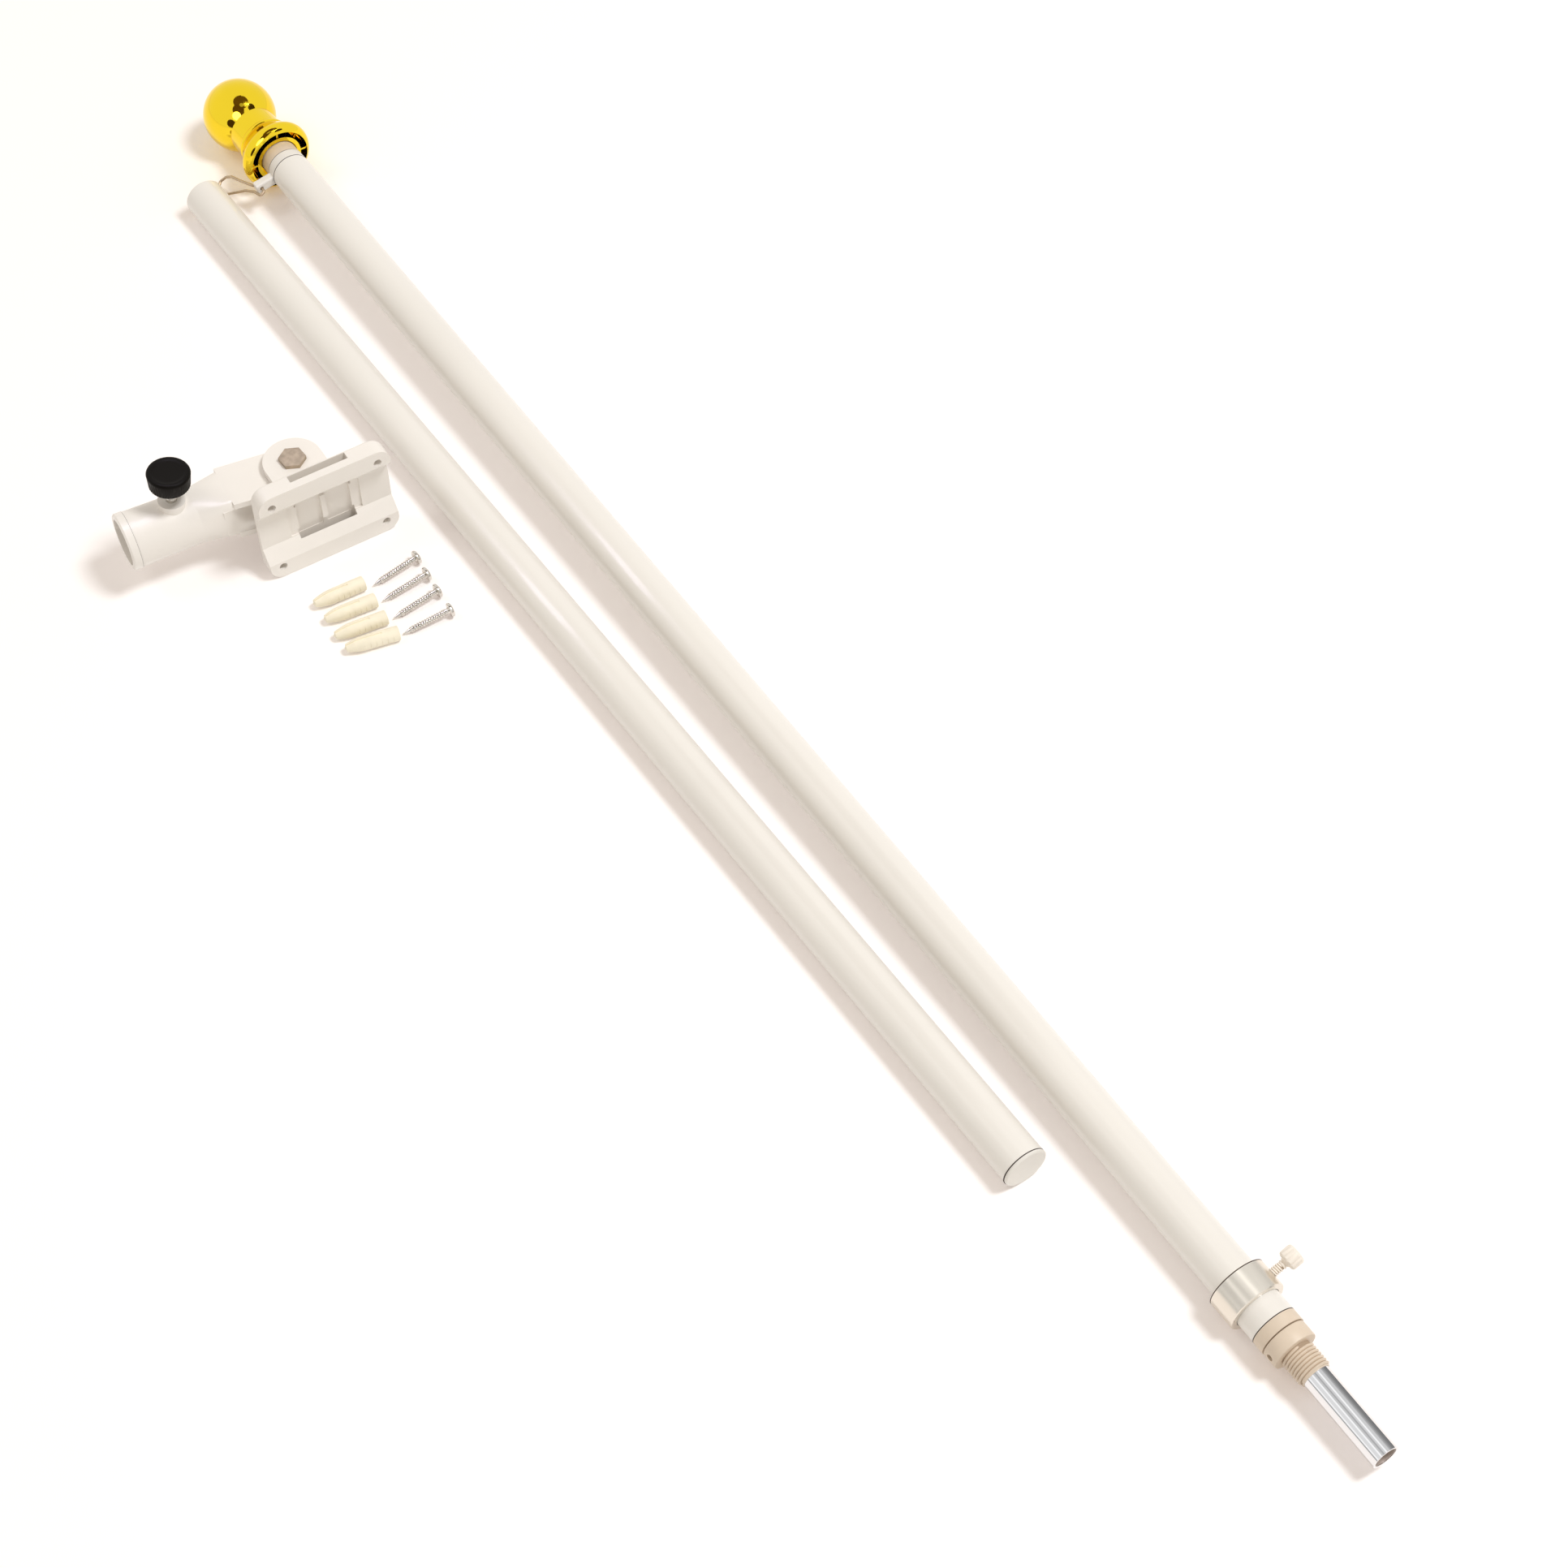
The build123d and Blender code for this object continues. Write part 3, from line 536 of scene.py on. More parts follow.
# Glowing cards seen only in the ball: the dark ones paint its dark reflections, the bright ones its highlights
# Cards that the finial's ball mirrors: direction (right, away, up), half width in degrees, distance, colour
BALL_CARDS = (
    ((0.20, -0.10, 0.97), 24, 1.2, (0.13, 0.075, 0.04)),
    ((0.10, -0.52, 0.85), 19, 1.2, (0.11, 0.06, 0.03)),
    ((0.70, -0.18, 0.69), 12, 1.2, (0.05, 0.03, 0.02)),
    ((-0.32, -0.92, 0.24), 13, 1.2, (0.06, 0.035, 0.02)),
    ((-0.02, -0.76, 0.65), 13, 0.4, (6.0, 5.6, 7.0)),
    ((0.23, -0.24, 0.94), 6, 0.4, (0.50, 0.48, 0.50)),
)


class FLAGPOLE_OT_poles(bpy.types.Operator):
    """Paints the tubes and finishes the plastic ends"""
    bl_idname = "flagpole.poles"
    bl_label = "Tubes and ends"

    def execute(self, context):
        finish = context.scene.flagpole_poles
        paint = material_named("gloss_white_paint", gloss_paint, finish.paint)
        white = material_named("white_moulding", white_moulding, finish.white)
        beige = material_named("beige_moulding", beige_moulding, finish.beige)
        for node in ("outer_tube", "lower_tube"):
            dress(node, paint)
        for node in ("top_collar", "lower_end_cap"):
            dress(node, white)
        for node in ("finial_neck", "lower_bushing", "joint_socket"):
            dress(node, beige)
        dark = material_named("joint_shadow", joint_shadow, finish.joint)
        width = finish.joint_width
        low, high, _ = reach_along("outer_tube", SWIVEL, -STAFF_DIR)
        lines = (
            ("tube_start_line", "outer_tube", (SWIVEL, -STAFF_DIR), width / 2),
            ("tube_top_line", "outer_tube", (SWIVEL, -STAFF_DIR), high - low - width / 2),
            ("lower_cap_line", "lower_tube", LOWER_LINE, width / 2),
        )
        for name, node, (origin, direction), station in lines:
            line = joint_line(name, node, origin, direction, station, width, dark, "layout")
        along, across = spread_round("finial_neck", SWIVEL, -STAFF_DIR)
        neck_r = across.max()
        neck_start = along[across > neck_r - 0.0002].min()
        line = ring_line("collar_line", SWIVEL, -STAFF_DIR, neck_start + width * 0.6, neck_r, width * 0.8,
                         PROUD_LIFT, dark, "layout")
        return {"FINISHED"}


class FLAGPOLE_OT_finial(bpy.types.Operator):
    """Plates the ball and its bell"""
    bl_idname = "flagpole.finial"
    bl_label = "Gold finial"

    def execute(self, context):
        finish = context.scene.flagpole_poles
        dress("finial", material_named("bright_gold_plate", bright_gold, finish.gold))
        return {"FINISHED"}


class FLAGPOLE_OT_clip(bpy.types.Operator):
    """Finishes the wire clip"""
    bl_idname = "flagpole.clip"
    bl_label = "Wire clip"

    def execute(self, context):
        finish = context.scene.flagpole_poles
        dress("wire_clip", material_named("spring_wire", spring_wire, finish.wire))
        return {"FINISHED"}


class FLAGPOLE_OT_swivel(bpy.types.Operator):
    """Cuts the coupling's thread and polishes the staff"""
    bl_idname = "flagpole.swivel"
    bl_label = "Coupling and staff"

    def execute(self, context):
        finish = context.scene.flagpole_poles
        sizes = context.scene.flagpole_threads
        beige = material_named("beige_moulding", beige_moulding, finish.beige)
        steel = material_named("mirror_steel", mirror_steel, finish.steel)
        dull = material_named("dull_steel", dull_steel, context.scene.flagpole_bracket.bolt)
        dress("steel_staff", steel)
        along, across = spread_round("steel_staff", SWIVEL, STAFF_DIR)
        staff_end = along.max()
        liner_r = across[along > staff_end - 0.0003].min() - 0.00005
        inner_r = liner_r - 0.0003
        floor, mouth = staff_end - 0.012, staff_end - 0.0004
        liner_profile = [
            (floor, 0.0003), (floor, liner_r), (mouth, liner_r), (mouth, inner_r),
            (floor + 0.002, inner_r), (floor + 0.001, inner_r - 0.001), (floor + 0.0008, 0.0003),
        ]
        liner = lathe("staff_liner", liner_profile, turned_to(SWIVEL, STAFF_DIR),
                      material_named("bore_steel", bore_steel, finish.bore), segments=64)
        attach(liner, "staff")
        along, across = spread_round("threaded_coupling", SWIVEL, STAFF_DIR)
        start, end, hub_r = along.min(), along.max(), across.max()
        barrel = across[along > end - 0.0005]
        bore, crest = barrel.min(), barrel.max()
        hub_end = along[across > crest + 0.001].max()
        core = crest - sizes.coupling_depth
        edge = 0.0005
        seam_at, seam_half, seam_lift = radians(337.5), radians(1.0), 0.00012
        profile = [
            (start, bore), (start, hub_r - edge), (start + edge * 0.3, hub_r - edge * 0.3),
            (start + edge, hub_r), (hub_end - edge, hub_r), (hub_end - edge * 0.3, hub_r - edge * 0.3),
            (hub_end, hub_r - edge), (hub_end, core), (end - edge, core), (end, core - edge * 0.6),
            (end, bore),
        ]

        def seam(angle, station, radius):
            on_seam = radius > hub_r - edge * 0.5 and abs(angle - seam_at) < seam_half
            return radius + seam_lift if on_seam else radius

        place = turned_to(SWIVEL, STAFF_DIR)
        hub = lathe("coupling_hub", profile, place, beige, segments=192, shape=seam, hollow=True)
        hole = turned_to(SWIVEL + STAFF_DIR * (start + hub_end) / 2, STAFF_SIDE)
        hole_r = 0.0019
        drill_profile = [(hub_r - 0.0036, hole_r), (hub_r + 0.002, hole_r)]
        drill = lathe("hub_drill", drill_profile, hole, beige, segments=40)
        cut_away(hub, drill)
        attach(hub, "staff")
        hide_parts("threaded_coupling")
        ridge = thread("coupling_thread", core, crest, sizes.coupling_pitch, hub_end + 0.0010,
                       end - 0.0009, place, beige, run_out=0.25, steps=64)
        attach(ridge, "staff")
        # A darker sleeve under the coupling's ridge paints the shade in its thread grooves
        shaded_groove = material_named("groove_shade_paint", groove_shade_paint, finish.shaded_groove)
        low, high, sleeve_r = hub_end + 0.00002, end - edge * 1.2, core + SLEEVE_LIFT
        sleeve_profile = [(low, bore), (low, sleeve_r), (high, sleeve_r), (high, bore)]
        sleeve = lathe("coupling_groove_shade", sleeve_profile, place, shaded_groove, hollow=True)
        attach(sleeve, "staff")
        pin_r = 0.0015
        pin_profile = [
            (bore, pin_r), (hub_r - 0.0022, pin_r), (hub_r - 0.0016, pin_r * 0.9),
            (hub_r - 0.0013, pin_r * 0.6), (hub_r - 0.0012, pin_r * 0.2),
        ]
        pin = lathe("coupling_pin", pin_profile, hole, dull, segments=32)
        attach(pin, "staff")
        return {"FINISHED"}


class FLAGPOLE_OT_ring(bpy.types.Operator):
    """Finishes the flag ring and cuts its thumbscrew's thread"""
    bl_idname = "flagpole.ring"
    bl_label = "Flag ring"

    def execute(self, context):
        finish = context.scene.flagpole_poles
        sizes = context.scene.flagpole_threads
        white = material_named("milky_moulding", milky_moulding, finish.thumbscrew)
        dress("flag_ring", material_named("turned_aluminium", turned_aluminium, finish.aluminium))
        dark = material_named("joint_shadow", joint_shadow, finish.joint)
        low, high, _ = reach_along("flag_ring", SWIVEL, -STAFF_DIR)
        # Painted reflection: a fine dark ring near the ring's far, chamfered edge stands in for the dark
        # reflection there
        line = joint_line("ring_edge_dark_reflection", "flag_ring", SWIVEL, -STAFF_DIR, high - low - 0.0006,
                          finish.joint_width, dark, "flag_ring")
        along, across = spread_round("ring_thumbscrew", RING_SCREW, RING_SCREW_DIR)
        tip, top, grip_r = along.min(), along.max(), across.max()
        crest = across[along < tip + 0.0003].max()
        chamfer, thread_depth, dish = 0.0006, 0.0006, 0.0004
        core = crest - thread_depth
        head = along[across > crest + 0.001].min()
        collar = head - 0.0022
        profile = [
            (tip, 0.0003), (tip, core - chamfer), (tip + chamfer, core), (collar, core),
            (collar, crest - 0.0001), (collar + 0.0008, crest - 0.0001), (collar + 0.0010, core),
            (collar + 0.0013, core), (collar + 0.0015, crest), (head, crest + 0.0002),
            (head, grip_r - 0.0016), (head + 0.0004, grip_r - 0.0006), (head + 0.0011, grip_r),
            (top - 0.0013, grip_r), (top - 0.0005, grip_r - 0.0006), (top - 0.0001, grip_r - 0.0015),
            (top, grip_r - 0.0022), (top, grip_r - 0.0030), (top - dish, grip_r - 0.0034),
            (top - dish, 0.0003),
        ]
        lobes, lobe_depth, lobe_edge = 11, 0.00045, 0.0012

        def grip(angle, station, radius):
            share = max(0.0, radius - grip_r + lobe_edge) / lobe_edge
            return radius - lobe_depth * share * (0.5 - 0.5 * cos(lobes * angle)) ** 2

        place = turned_to(RING_SCREW, RING_SCREW_DIR)
        body = lathe("thumbscrew_body", profile, place, white, segments=lobes * 14, shape=grip)
        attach(body, "ring_screw")
        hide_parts("ring_thumbscrew")
        ridge = thread("thumbscrew_thread", core, crest, sizes.screw_pitch, tip + 0.0012,
                       collar - 0.0006, place, white)
        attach(ridge, "ring_screw")
        # A darker sleeve under the thumbscrew's ridge paints the shade in its thread grooves
        shaded_groove = material_named("groove_shade_paint", groove_shade_paint, finish.shaded_groove)
        low, high, sleeve_r = tip + 0.0009, collar - 0.0003, core + SLEEVE_LIFT
        sleeve_profile = [(low, core * 0.5), (low, sleeve_r), (high, sleeve_r), (high, core * 0.5)]
        sleeve = lathe("thumbscrew_groove_shade", sleeve_profile, place, shaded_groove, segments=48, hollow=True)
        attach(sleeve, "ring_screw")
        return {"FINISHED"}


# The hollow in the arm's flank, in metres: stations from the pivot, half height, floor and the flank's slope
HOLLOW_START = 0.0175
HOLLOW_END = 0.049
HOLLOW_HALF = 0.00995
HOLLOW_FLOOR = 0.0085
FLANK_AT_PIVOT = 0.0209
FLANK_AT_BLOCK = 0.016
BLOCK_END = 0.042


def soft_hollow(name, origin, outwards, side, material):
    """Lines the flank's hollow with one smooth dish, so that it has no hard walls."""
    bm = bmesh.new()
    rings = []
    columns, rows = 48, 24
    deepest = 0.35
    under_edge, backing = 0.0001, 0.0002
    for i in range(columns + 1):
        share = i / columns
        station = HOLLOW_START + (HOLLOW_END - HOLLOW_START) * share
        flank = FLANK_AT_PIVOT + (FLANK_AT_BLOCK - FLANK_AT_PIVOT) * min(station / BLOCK_END, 1)
        away_from_deepest = (share - deepest) / ((1 - deepest) if share > deepest else -deepest)
        along = 0.5 - 0.5 * cos(pi * away_from_deepest)
        ring = []
        for j in range(rows + 1):
            height = 2 * j / rows - 1
            lift = 1 - (1 - along) * (1 - abs(height) ** 3)
            depth = HOLLOW_FLOOR + (flank - under_edge - HOLLOW_FLOOR) * lift
            ring.append((depth, height))
        ring += [(HOLLOW_FLOOR - backing, 1), (HOLLOW_FLOOR - backing, -1)]
        base = origin + outwards * station
        rings.append([bm.verts.new(base + side * depth + Vector((0, 0, height * HOLLOW_HALF)))
                      for depth, height in ring])
    skin_rings(bm, rings)
    return finish_mesh(name, bm, Matrix.Identity(4), material, sharp=60.0)


class FLAGPOLE_OT_bracket(bpy.types.Operator):
    """Powder coats the castings and finishes the pivot's bolt"""
    bl_idname = "flagpole.bracket"
    bl_label = "Bracket"

    def execute(self, context):
        finish = context.scene.flagpole_bracket
        coat = material_named("white_powder_coat", powder_coat, finish.coat)
        bolt = material_named("dull_steel", dull_steel, finish.bolt)
        for node in ("bracket_base", "bracket_arm"):
            dress(node, coat)
        for node in ("pivot_bolt", "pivot_nut"):
            dress(node, bolt)
        mouth = SOCKET["dims"]["length_mm"] / 2000
        middle = Vector(SOCKET["pos_m"])
        outwards = Vector(SOCKET["axis"]).normalized()
        along, across = spread_round("bracket_arm", middle, outwards)
        band_r = across[along > mouth - 0.002].max()
        dark = material_named("joint_shadow", joint_shadow, context.scene.flagpole_poles.joint)
        line = ring_line("socket_band_line", middle, outwards, mouth - finish.mouth_band, band_r - 0.0001,
                         context.scene.flagpole_poles.joint_width * 0.5, PROUD_LIFT, dark, "layout")
        pivot = Vector(JOINTS["bracket_tilt"]["pos_m"])
        side = UP.cross(outwards).normalized()
        start = middle + outwards * (pivot - middle).dot(outwards)
        lining = soft_hollow("arm_hollow", start, outwards, side, coat)
        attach(lining, "layout")
        return {"FINISHED"}


class FLAGPOLE_OT_knob(bpy.types.Operator):
    """Makes the fluted knob and its stud's thread"""
    bl_idname = "flagpole.knob"
    bl_label = "Clamp knob"

    def execute(self, context):
        finish = context.scene.flagpole_bracket
        black = material_named("black_moulding", black_moulding, finish.black)
        zinc = material_named("zinc_plate", zinc_plate, context.scene.flagpole_fixings.zinc)
        dress("knob_stud", zinc)
        low, high, radius = reach_along("clamp_knob", KNOB, KNOB_DIR)
        waist = radius - 0.0007
        dish = high - 0.00045
        profile = [
            (low, 0.0036), (low, waist - 0.0018), (low + 0.0003, waist - 0.0008), (low + 0.0012, waist),
            (high - 0.0022, radius - 0.0001), (high - 0.0014, radius), (high - 0.0006, radius - 0.0004),
            (high - 0.0001, radius - 0.0010), (high, radius - 0.0020), (high, radius - 0.0028),
            (high - 0.00035, radius - 0.0034), (dish, radius - 0.0050), (dish, 0.0004),
        ]

        flute_end, flute_fade = high - 0.0022, 0.004

        def flute(angle, station, r):
            share = max(0.0, min(1.0, (flute_end - station) / flute_fade))
            if r < waist - 0.0005:
                return r
            return r - finish.flute_depth * share * (0.5 - 0.5 * cos(finish.flutes * angle)) ** 2

        place = turned_to(KNOB, KNOB_DIR)
        piece = lathe("fluted_knob", profile, place, black,
                      segments=finish.flutes * 8, shape=flute, sharp=50.0)
        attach(piece, "knob")
        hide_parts("clamp_knob")
        _, _, stud_r = reach_along("knob_stud", KNOB, KNOB_DIR)
        boss_top = low - 0.0115
        pitch = context.scene.flagpole_threads.stud_pitch
        ridge = thread("stud_thread", stud_r - 0.00005, stud_r + 0.0003, pitch, boss_top + 0.0012,
                       low - 0.0006, place, zinc)
        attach(ridge, "knob")
        return {"FINISHED"}


class FLAGPOLE_OT_wood_screws(bpy.types.Operator):
    """Makes the four threaded wood screws"""
    bl_idname = "flagpole.wood_screws"
    bl_label = "Wood screws"

    def execute(self, context):
        zinc = material_named("zinc_plate", zinc_plate, context.scene.flagpole_fixings.zinc)
        pitch = context.scene.flagpole_threads.wood_pitch
        core, crest, point, shank = 0.0016, 0.0021, 0.006, 0.0046
        slot_top, slot_bottom, slot_depth, slot_above = (0.0046, 0.00085), (0.0012, 0.0006), 0.0016, 0.0004
        for number, node in enumerate(SCREW_NODES, start=1):
            tip, head = long_axis_of(node)
            place = turned_to(head, tip - head)
            length = (tip - head).length
            _, _, head_r = reach_along(node, head, (tip - head).normalized())
            profile = [
                (0, 0.0002), (0, 0.0018), (0.00008, head_r * 0.56), (0.00026, head_r * 0.70),
                (0.00052, head_r * 0.84), (0.00085, head_r * 0.95), (0.0012, head_r), (0.0022, head_r),
                (0.0026, head_r - 0.0004), (0.0026, 0.0023), (0.0031, core + 0.0003), (0.0037, core),
                (length - point, core), (length - 0.003, core * 0.62), (length - 0.0012, core * 0.32),
                (length, 0.00008),
            ]
            body = lathe(f"screw_{number}", profile, place, zinc, segments=48)
            for quarter in (0, 1):
                slot_place = place @ Matrix.Rotation(radians(45 + 90 * quarter), 4, "Z")
                blade = wedge("cross_slot", slot_place, slot_top, slot_bottom, -slot_above, slot_depth, zinc)
                cut_away(body, blade)
            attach(body, "layout")
            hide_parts(node)
            ridge = thread(f"screw_thread_{number}", core * 0.98, crest, pitch, shank, length - point * 0.75,
                           place, zinc, run_out=1.2, steps=32, root_share=0.55)
            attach(ridge, "layout")
        return {"FINISHED"}


class FLAGPOLE_OT_wall_plugs(bpy.types.Operator):
    """Makes the four ribbed wall plugs"""
    bl_idname = "flagpole.wall_plugs"
    bl_label = "Wall plugs"

    def execute(self, context):
        fixings = context.scene.flagpole_fixings
        cream = material_named("cream_moulding", cream_moulding, fixings.cream)
        body_end = 0.019
        nose_start = 0.0314
        nose_r = 0.0024
        bore_r, bore_depth = 0.0018, 0.024
        first_ring, ring_spacing = 0.0006, 0.0002
        first_tooth, tooth_count = 0.004, 5
        slit_start, slit_depth, slit_half = 0.010, 0.0007, radians(4)
        for number, node in enumerate(PLUG_NODES, start=1):
            nose, mouth = long_axis_of(node)
            length = (nose - mouth).length
            _, _, plug_r = reach_along(node, mouth, (nose - mouth).normalized())
            bend_r = ((nose_start - body_end) ** 2 + (plug_r - nose_r) ** 2) / (2 * (plug_r - nose_r))
            profile = [
                (bore_depth, 0.0002), (bore_depth, bore_r), (0, bore_r),
                (0, plug_r - 0.0004), (0.0004, plug_r),
            ]
            for step in range(156):
                station = first_ring + ring_spacing * step
                drop = bend_r - sqrt(bend_r ** 2 - max(0.0, station - body_end) ** 2)
                if station < nose_start:
                    profile.append((station, plug_r - drop))
            profile += [(nose_start, nose_r), (length - 0.0006, 0.0012), (length, 0.0003)]

            def teeth(angle, station, radius):
                flank = abs(sin(angle)) ** 8
                notch = (station - first_tooth) / fixings.tooth_spacing
                if radius > nose_r and 0 < notch < tooth_count:
                    radius -= fixings.tooth_depth * flank * (1 - notch % 1)
                from_slit = min(angle, abs(angle - pi), 2 * pi - angle)
                if station > slit_start and radius > nose_r and from_slit < slit_half:
                    radius -= slit_depth
                return radius

            piece = lathe(f"plug_{number}", profile, turned_to(mouth, nose - mouth), cream,
                          segments=96, shape=teeth, sharp=40.0)
            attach(piece, "layout")
            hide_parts(node)
        return {"FINISHED"}


def floor_material(colour, glow_colour, glow):
    """Pale floor: the camera and mirrors see it nearly white, and it keeps the shadows."""
    material = bpy.data.materials.new("pale_floor")
    material.use_nodes = True
    tree = material.node_tree
    tree.nodes.clear()
    path = add_node(tree, "ShaderNodeLightPath")
    diffuse = add_node(tree, "ShaderNodeBsdfDiffuse", Color=(*colour, 1))
    lift = add_node(tree, "ShaderNodeEmission", Color=(*glow_colour, 1), Strength=glow)
    seen = add_node(tree, "ShaderNodeAddShader")
    looked_at = add_node(tree, "ShaderNodeMath", operation="MAXIMUM")
    final = add_node(tree, "ShaderNodeMixShader")
    output = add_node(tree, "ShaderNodeOutputMaterial")
    tree.links.new(path.outputs["Is Camera Ray"], looked_at.inputs[0])
    tree.links.new(path.outputs["Is Glossy Ray"], looked_at.inputs[1])
    tree.links.new(diffuse.outputs[0], seen.inputs[0])
    tree.links.new(lift.outputs[0], seen.inputs[1])
    tree.links.new(looked_at.outputs[0], final.inputs[0])
    tree.links.new(diffuse.outputs[0], final.inputs[1])
    tree.links.new(seen.outputs[0], final.inputs[2])
    tree.links.new(final.outputs[0], output.inputs[0])
    return material


def make_world(colour, strength, mirror_strength):
    """Warm light from all round; the camera sees white, and mirrors see a pale studio."""
    world = bpy.data.worlds.new("studio")
    bpy.context.scene.world = world
    world.use_nodes = True
    tree = world.node_tree
    tree.nodes.clear()
    path = add_node(tree, "ShaderNodeLightPath")
    around = add_node(tree, "ShaderNodeBackground", Color=(*colour, 1), Strength=strength)
    mirrored = add_node(tree, "ShaderNodeBackground", Color=(1, 0.98, 0.95, 1), Strength=mirror_strength)
    seen = add_node(tree, "ShaderNodeBackground", Color=(1, 1, 1, 1), Strength=1.0)
    mixed = add_node(tree, "ShaderNodeMixShader")
    final = add_node(tree, "ShaderNodeMixShader")
    output = add_node(tree, "ShaderNodeOutputWorld")
    tree.links.new(path.outputs["Is Glossy Ray"], mixed.inputs[0])
    tree.links.new(around.outputs[0], mixed.inputs[1])
    tree.links.new(mirrored.outputs[0], mixed.inputs[2])
    tree.links.new(path.outputs["Is Camera Ray"], final.inputs[0])
    tree.links.new(mixed.outputs[0], final.inputs[1])
    tree.links.new(seen.outputs[0], final.inputs[2])
    tree.links.new(final.outputs[0], output.inputs[0])


def mirror_card(name, corners, colour):
    """A flat glowing card that only mirrors see; it paints reflections on bright metal and lights nothing."""
    material = bpy.data.materials.new(name)
    material.use_nodes = True
    tree = material.node_tree
    tree.nodes.clear()
    glow = add_node(tree, "ShaderNodeEmission", Color=(*colour, 1), Strength=1.0)
    output = add_node(tree, "ShaderNodeOutputMaterial")
    tree.links.new(glow.outputs[0], output.inputs[0])
    bm = bmesh.new()
    bm.faces.new([bm.verts.new(corner) for corner in corners])
    card = finish_mesh(name, bm, Matrix.Identity(4), material)
    for ray in ("camera", "diffuse", "transmission", "volume_scatter", "shadow"):
        setattr(card, f"visible_{ray}", False)


def area_light(name, target, towards, size, power, colour):
    """A round lamp that looks at the target from one direction."""
    lamp = bpy.data.lights.new(name, "AREA")
    lamp.shape = "DISK"
    lamp.size = size
    lamp.energy = power
    lamp.color = colour
    holder = bpy.data.objects.new(name, lamp)
    direction = towards.normalized()
    holder.matrix_world = turned_to(target + direction * LAMP_DISTANCE, direction)
    bpy.context.scene.collection.objects.link(holder)
    return holder


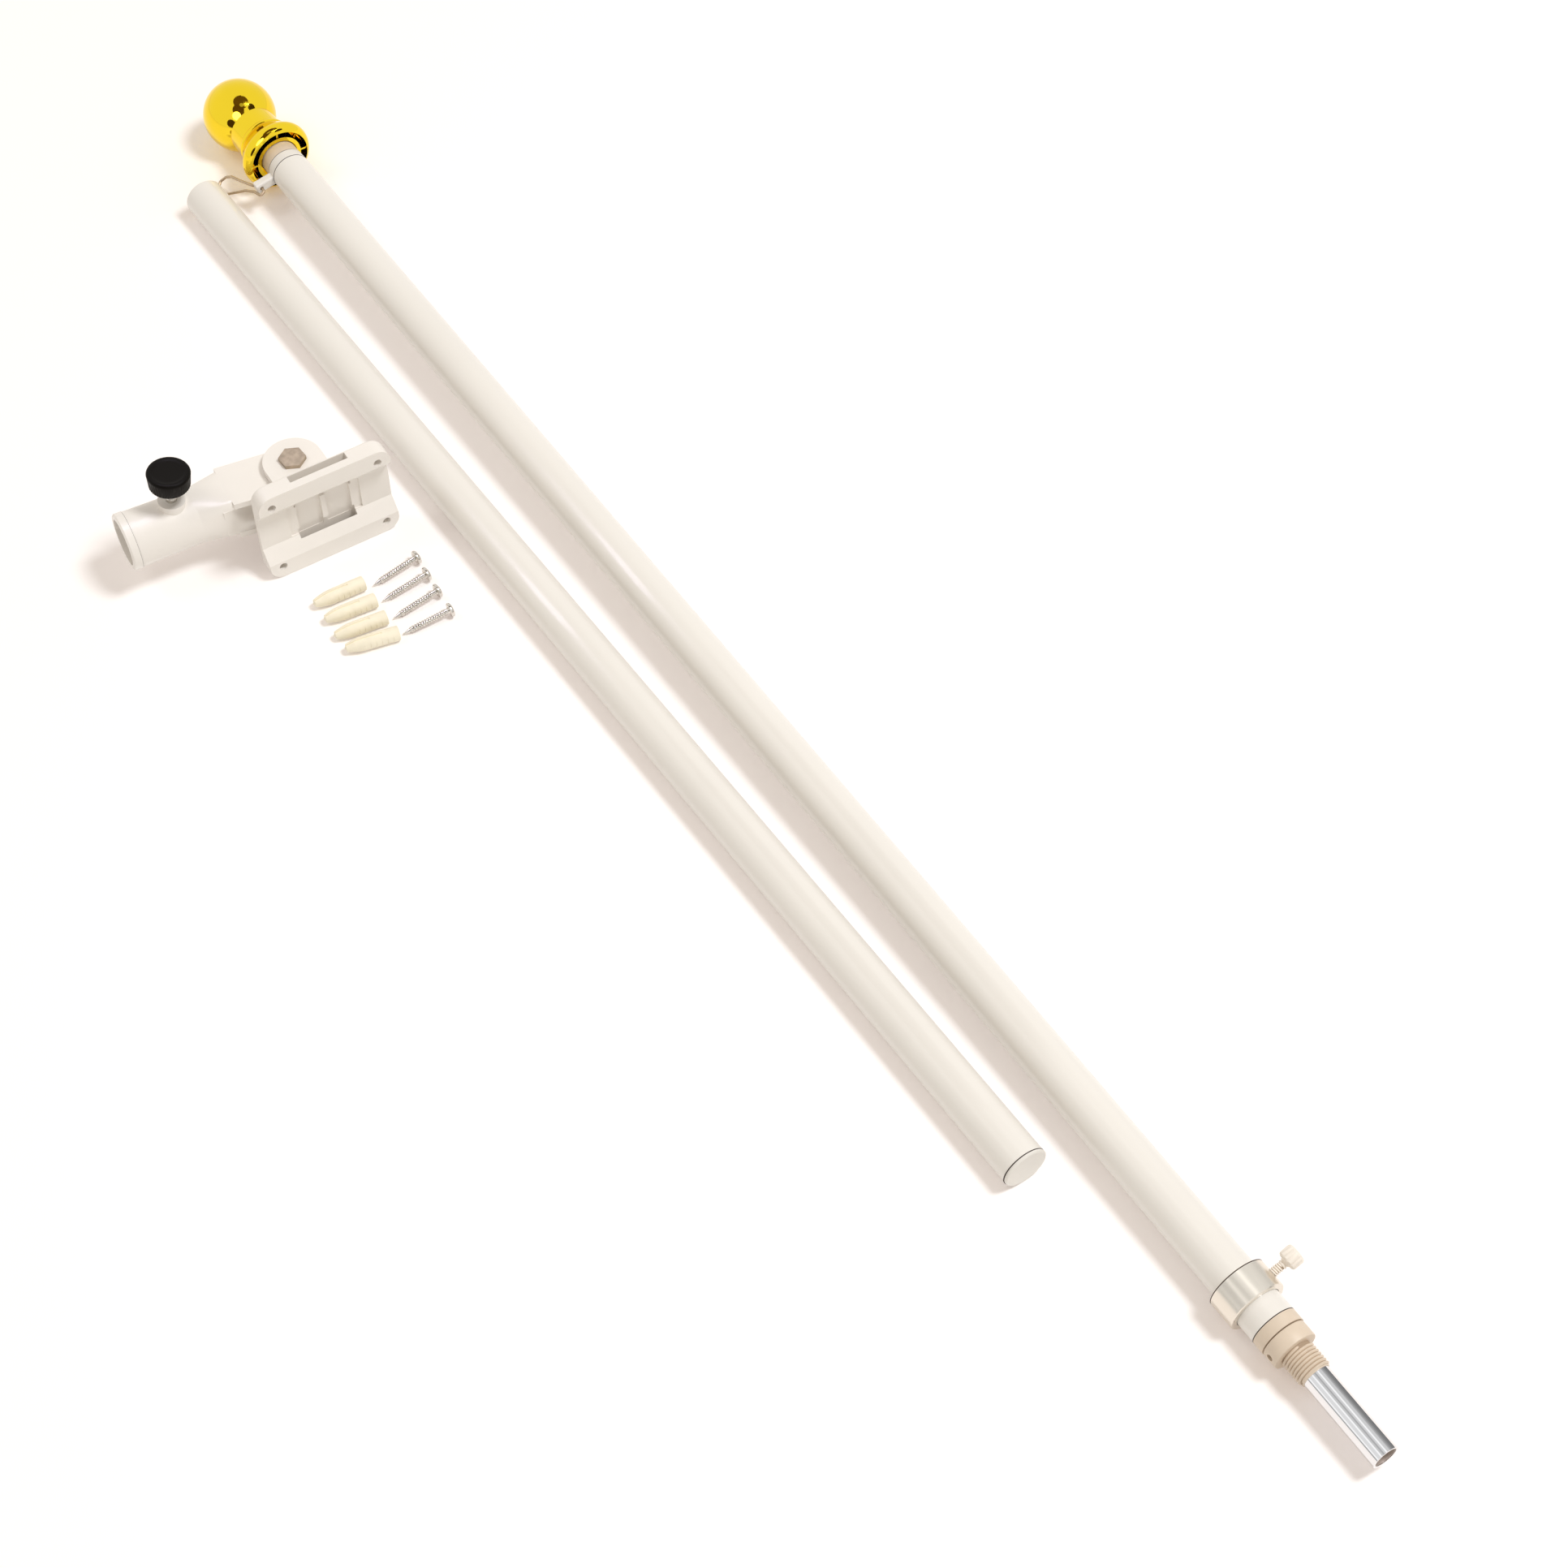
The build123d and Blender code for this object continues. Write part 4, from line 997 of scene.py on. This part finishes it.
class FLAGPOLE_OT_stage(bpy.types.Operator):
    """Sets the floor, the lights and the camera"""
    bl_idname = "flagpole.stage"
    bl_label = "Floor, lights and camera"

    def execute(self, context):
        settings = context.scene.flagpole_stage
        scene = context.scene
        scene.view_settings.view_transform = "Standard"
        bm = bmesh.new()
        half = settings.floor_size / 2
        below = 0.0002
        bm.faces.new([bm.verts.new((x * half, y * half, -below)) for x, y in SQUARE])
        floor = finish_mesh("floor", bm, Matrix.Identity(4), floor_material(
            tuple(settings.floor), tuple(settings.floor_glow), settings.floor_glow_strength))
        make_world(tuple(settings.sky_colour), settings.sky_strength, settings.mirror_sky)
        target = Vector((SWIVEL.x, SWIVEL.y, 0)) + LOOK_FROM_SWIVEL
        heading = settings.camera_heading
        right = Vector((cos(heading), sin(heading), 0))
        away = Vector((-sin(heading), cos(heading), 0))
        elevation = settings.camera_elevation
        back = (-away * cos(elevation) + UP * sin(elevation)).normalized()
        up = back.cross(right).normalized()
        roll = settings.camera_roll
        rolled_right = right * cos(roll) + up * sin(roll)
        rolled_up = up * cos(roll) - right * sin(roll)
        camera = bpy.data.cameras.new("camera")
        camera.lens = settings.camera_lens
        camera.sensor_width = 36.0
        camera.clip_start = 0.05
        camera.clip_end = 100
        holder = bpy.data.objects.new("camera", camera)
        place = Matrix((rolled_right, rolled_up, back)).transposed().to_4x4()
        place.translation = target + back * settings.camera_distance
        holder.matrix_world = place
        scene.collection.objects.link(holder)
        scene.camera = holder

        def in_view(towards):
            """A direction given by its parts to the camera's right, away from it and up."""
            return right * towards[0] + away * towards[1] + UP * towards[2]

        area_light("key_light", target, in_view(KEY_FROM), 1.05, settings.key_strength, (0.975, 0.985, 1.0))
        fill = area_light(
            "fill_light", target, in_view(FILL_FROM), 1.6, settings.fill_strength, (1.0, 0.97, 0.93))
        fill.visible_glossy = False
        level_side = STAFF_DIR.cross(UP).normalized()
        upwards = level_side.cross(STAFF_DIR).normalized()
        if level_side.dot(away) < 0:
            level_side = -level_side
        for family, cards, start_at, end_at in (("staff", STAFF_CARDS, RING_SIDE, CARD_REACH),
                                                ("ring", RING_CARDS, -CARD_REACH, RING_SIDE)):
            for (start, level), (end, _) in zip(cards, cards[1:]):
                edges = []
                for angle in (radians(start), radians(end)):
                    edges.append(SWIVEL + (level_side * cos(angle) + upwards * sin(angle)) * CARD_DISTANCE)
                near = STAFF_DIR * end_at
                far = STAFF_DIR * start_at
                corners = (edges[0] + far, edges[0] + near, edges[1] + near, edges[1] + far)
                mirror_card(f"{family}_card_{start}", corners, (level, level, level))
        ball = Vector(vertices_of("finial").mean(0))
        for number, (towards, half_width, distance, colour) in enumerate(BALL_CARDS, start=1):
            facing = in_view(towards).normalized()
            frame_of_card = turned_to(ball + facing * distance, facing)
            radius = distance * sin(radians(half_width))
            turns = [2 * pi * step / 24 for step in range(24)]
            corners = [frame_of_card @ Vector((radius * cos(turn), radius * sin(turn), 0)) for turn in turns]
            mirror_card(f"ball_card_{number}", corners, colour)
        return {"FINISHED"}


class FLAGPOLE_PT_panel(bpy.types.Panel):
    bl_idname = "FLAGPOLE_PT_panel"
    bl_label = "Flagpole"
    bl_space_type = "VIEW_3D"
    bl_region_type = "UI"
    bl_category = "Flagpole"

    def draw(self, context):
        layout = self.layout
        for group in GROUPS:
            settings = getattr(context.scene, group)
            for name in type(settings).__annotations__:
                layout.prop(settings, name)
        for operator in OPERATORS:
            layout.operator(operator.bl_idname)


GROUPS = {
    "flagpole_poles": PoleFinish,
    "flagpole_threads": ThreadSizes,
    "flagpole_bracket": BracketFinish,
    "flagpole_fixings": FixingFinish,
    "flagpole_stage": StageSettings,
}
OPERATORS = (
    FLAGPOLE_OT_poles,
    FLAGPOLE_OT_finial,
    FLAGPOLE_OT_clip,
    FLAGPOLE_OT_swivel,
    FLAGPOLE_OT_ring,
    FLAGPOLE_OT_bracket,
    FLAGPOLE_OT_knob,
    FLAGPOLE_OT_wood_screws,
    FLAGPOLE_OT_wall_plugs,
    FLAGPOLE_OT_stage,
)


def register():
    for name, group in GROUPS.items():
        bpy.utils.register_class(group)
        setattr(bpy.types.Scene, name, bpy.props.PointerProperty(type=group))
    for operator in OPERATORS:
        bpy.utils.register_class(operator)
    bpy.utils.register_class(FLAGPOLE_PT_panel)


def unregister():
    bpy.utils.unregister_class(FLAGPOLE_PT_panel)
    for operator in reversed(OPERATORS):
        bpy.utils.unregister_class(operator)
    for name, group in reversed(GROUPS.items()):
        delattr(bpy.types.Scene, name)
        bpy.utils.unregister_class(group)


def main():
    register()
    bpy.ops.flagpole.poles()
    bpy.ops.flagpole.finial()
    bpy.ops.flagpole.clip()
    bpy.ops.flagpole.swivel()
    bpy.ops.flagpole.ring()
    bpy.ops.flagpole.bracket()
    bpy.ops.flagpole.knob()
    bpy.ops.flagpole.wood_screws()
    bpy.ops.flagpole.wall_plugs()
    bpy.ops.flagpole.stage()
    bpy.context.view_layer.update()


if __name__ == "__main__":
    main()
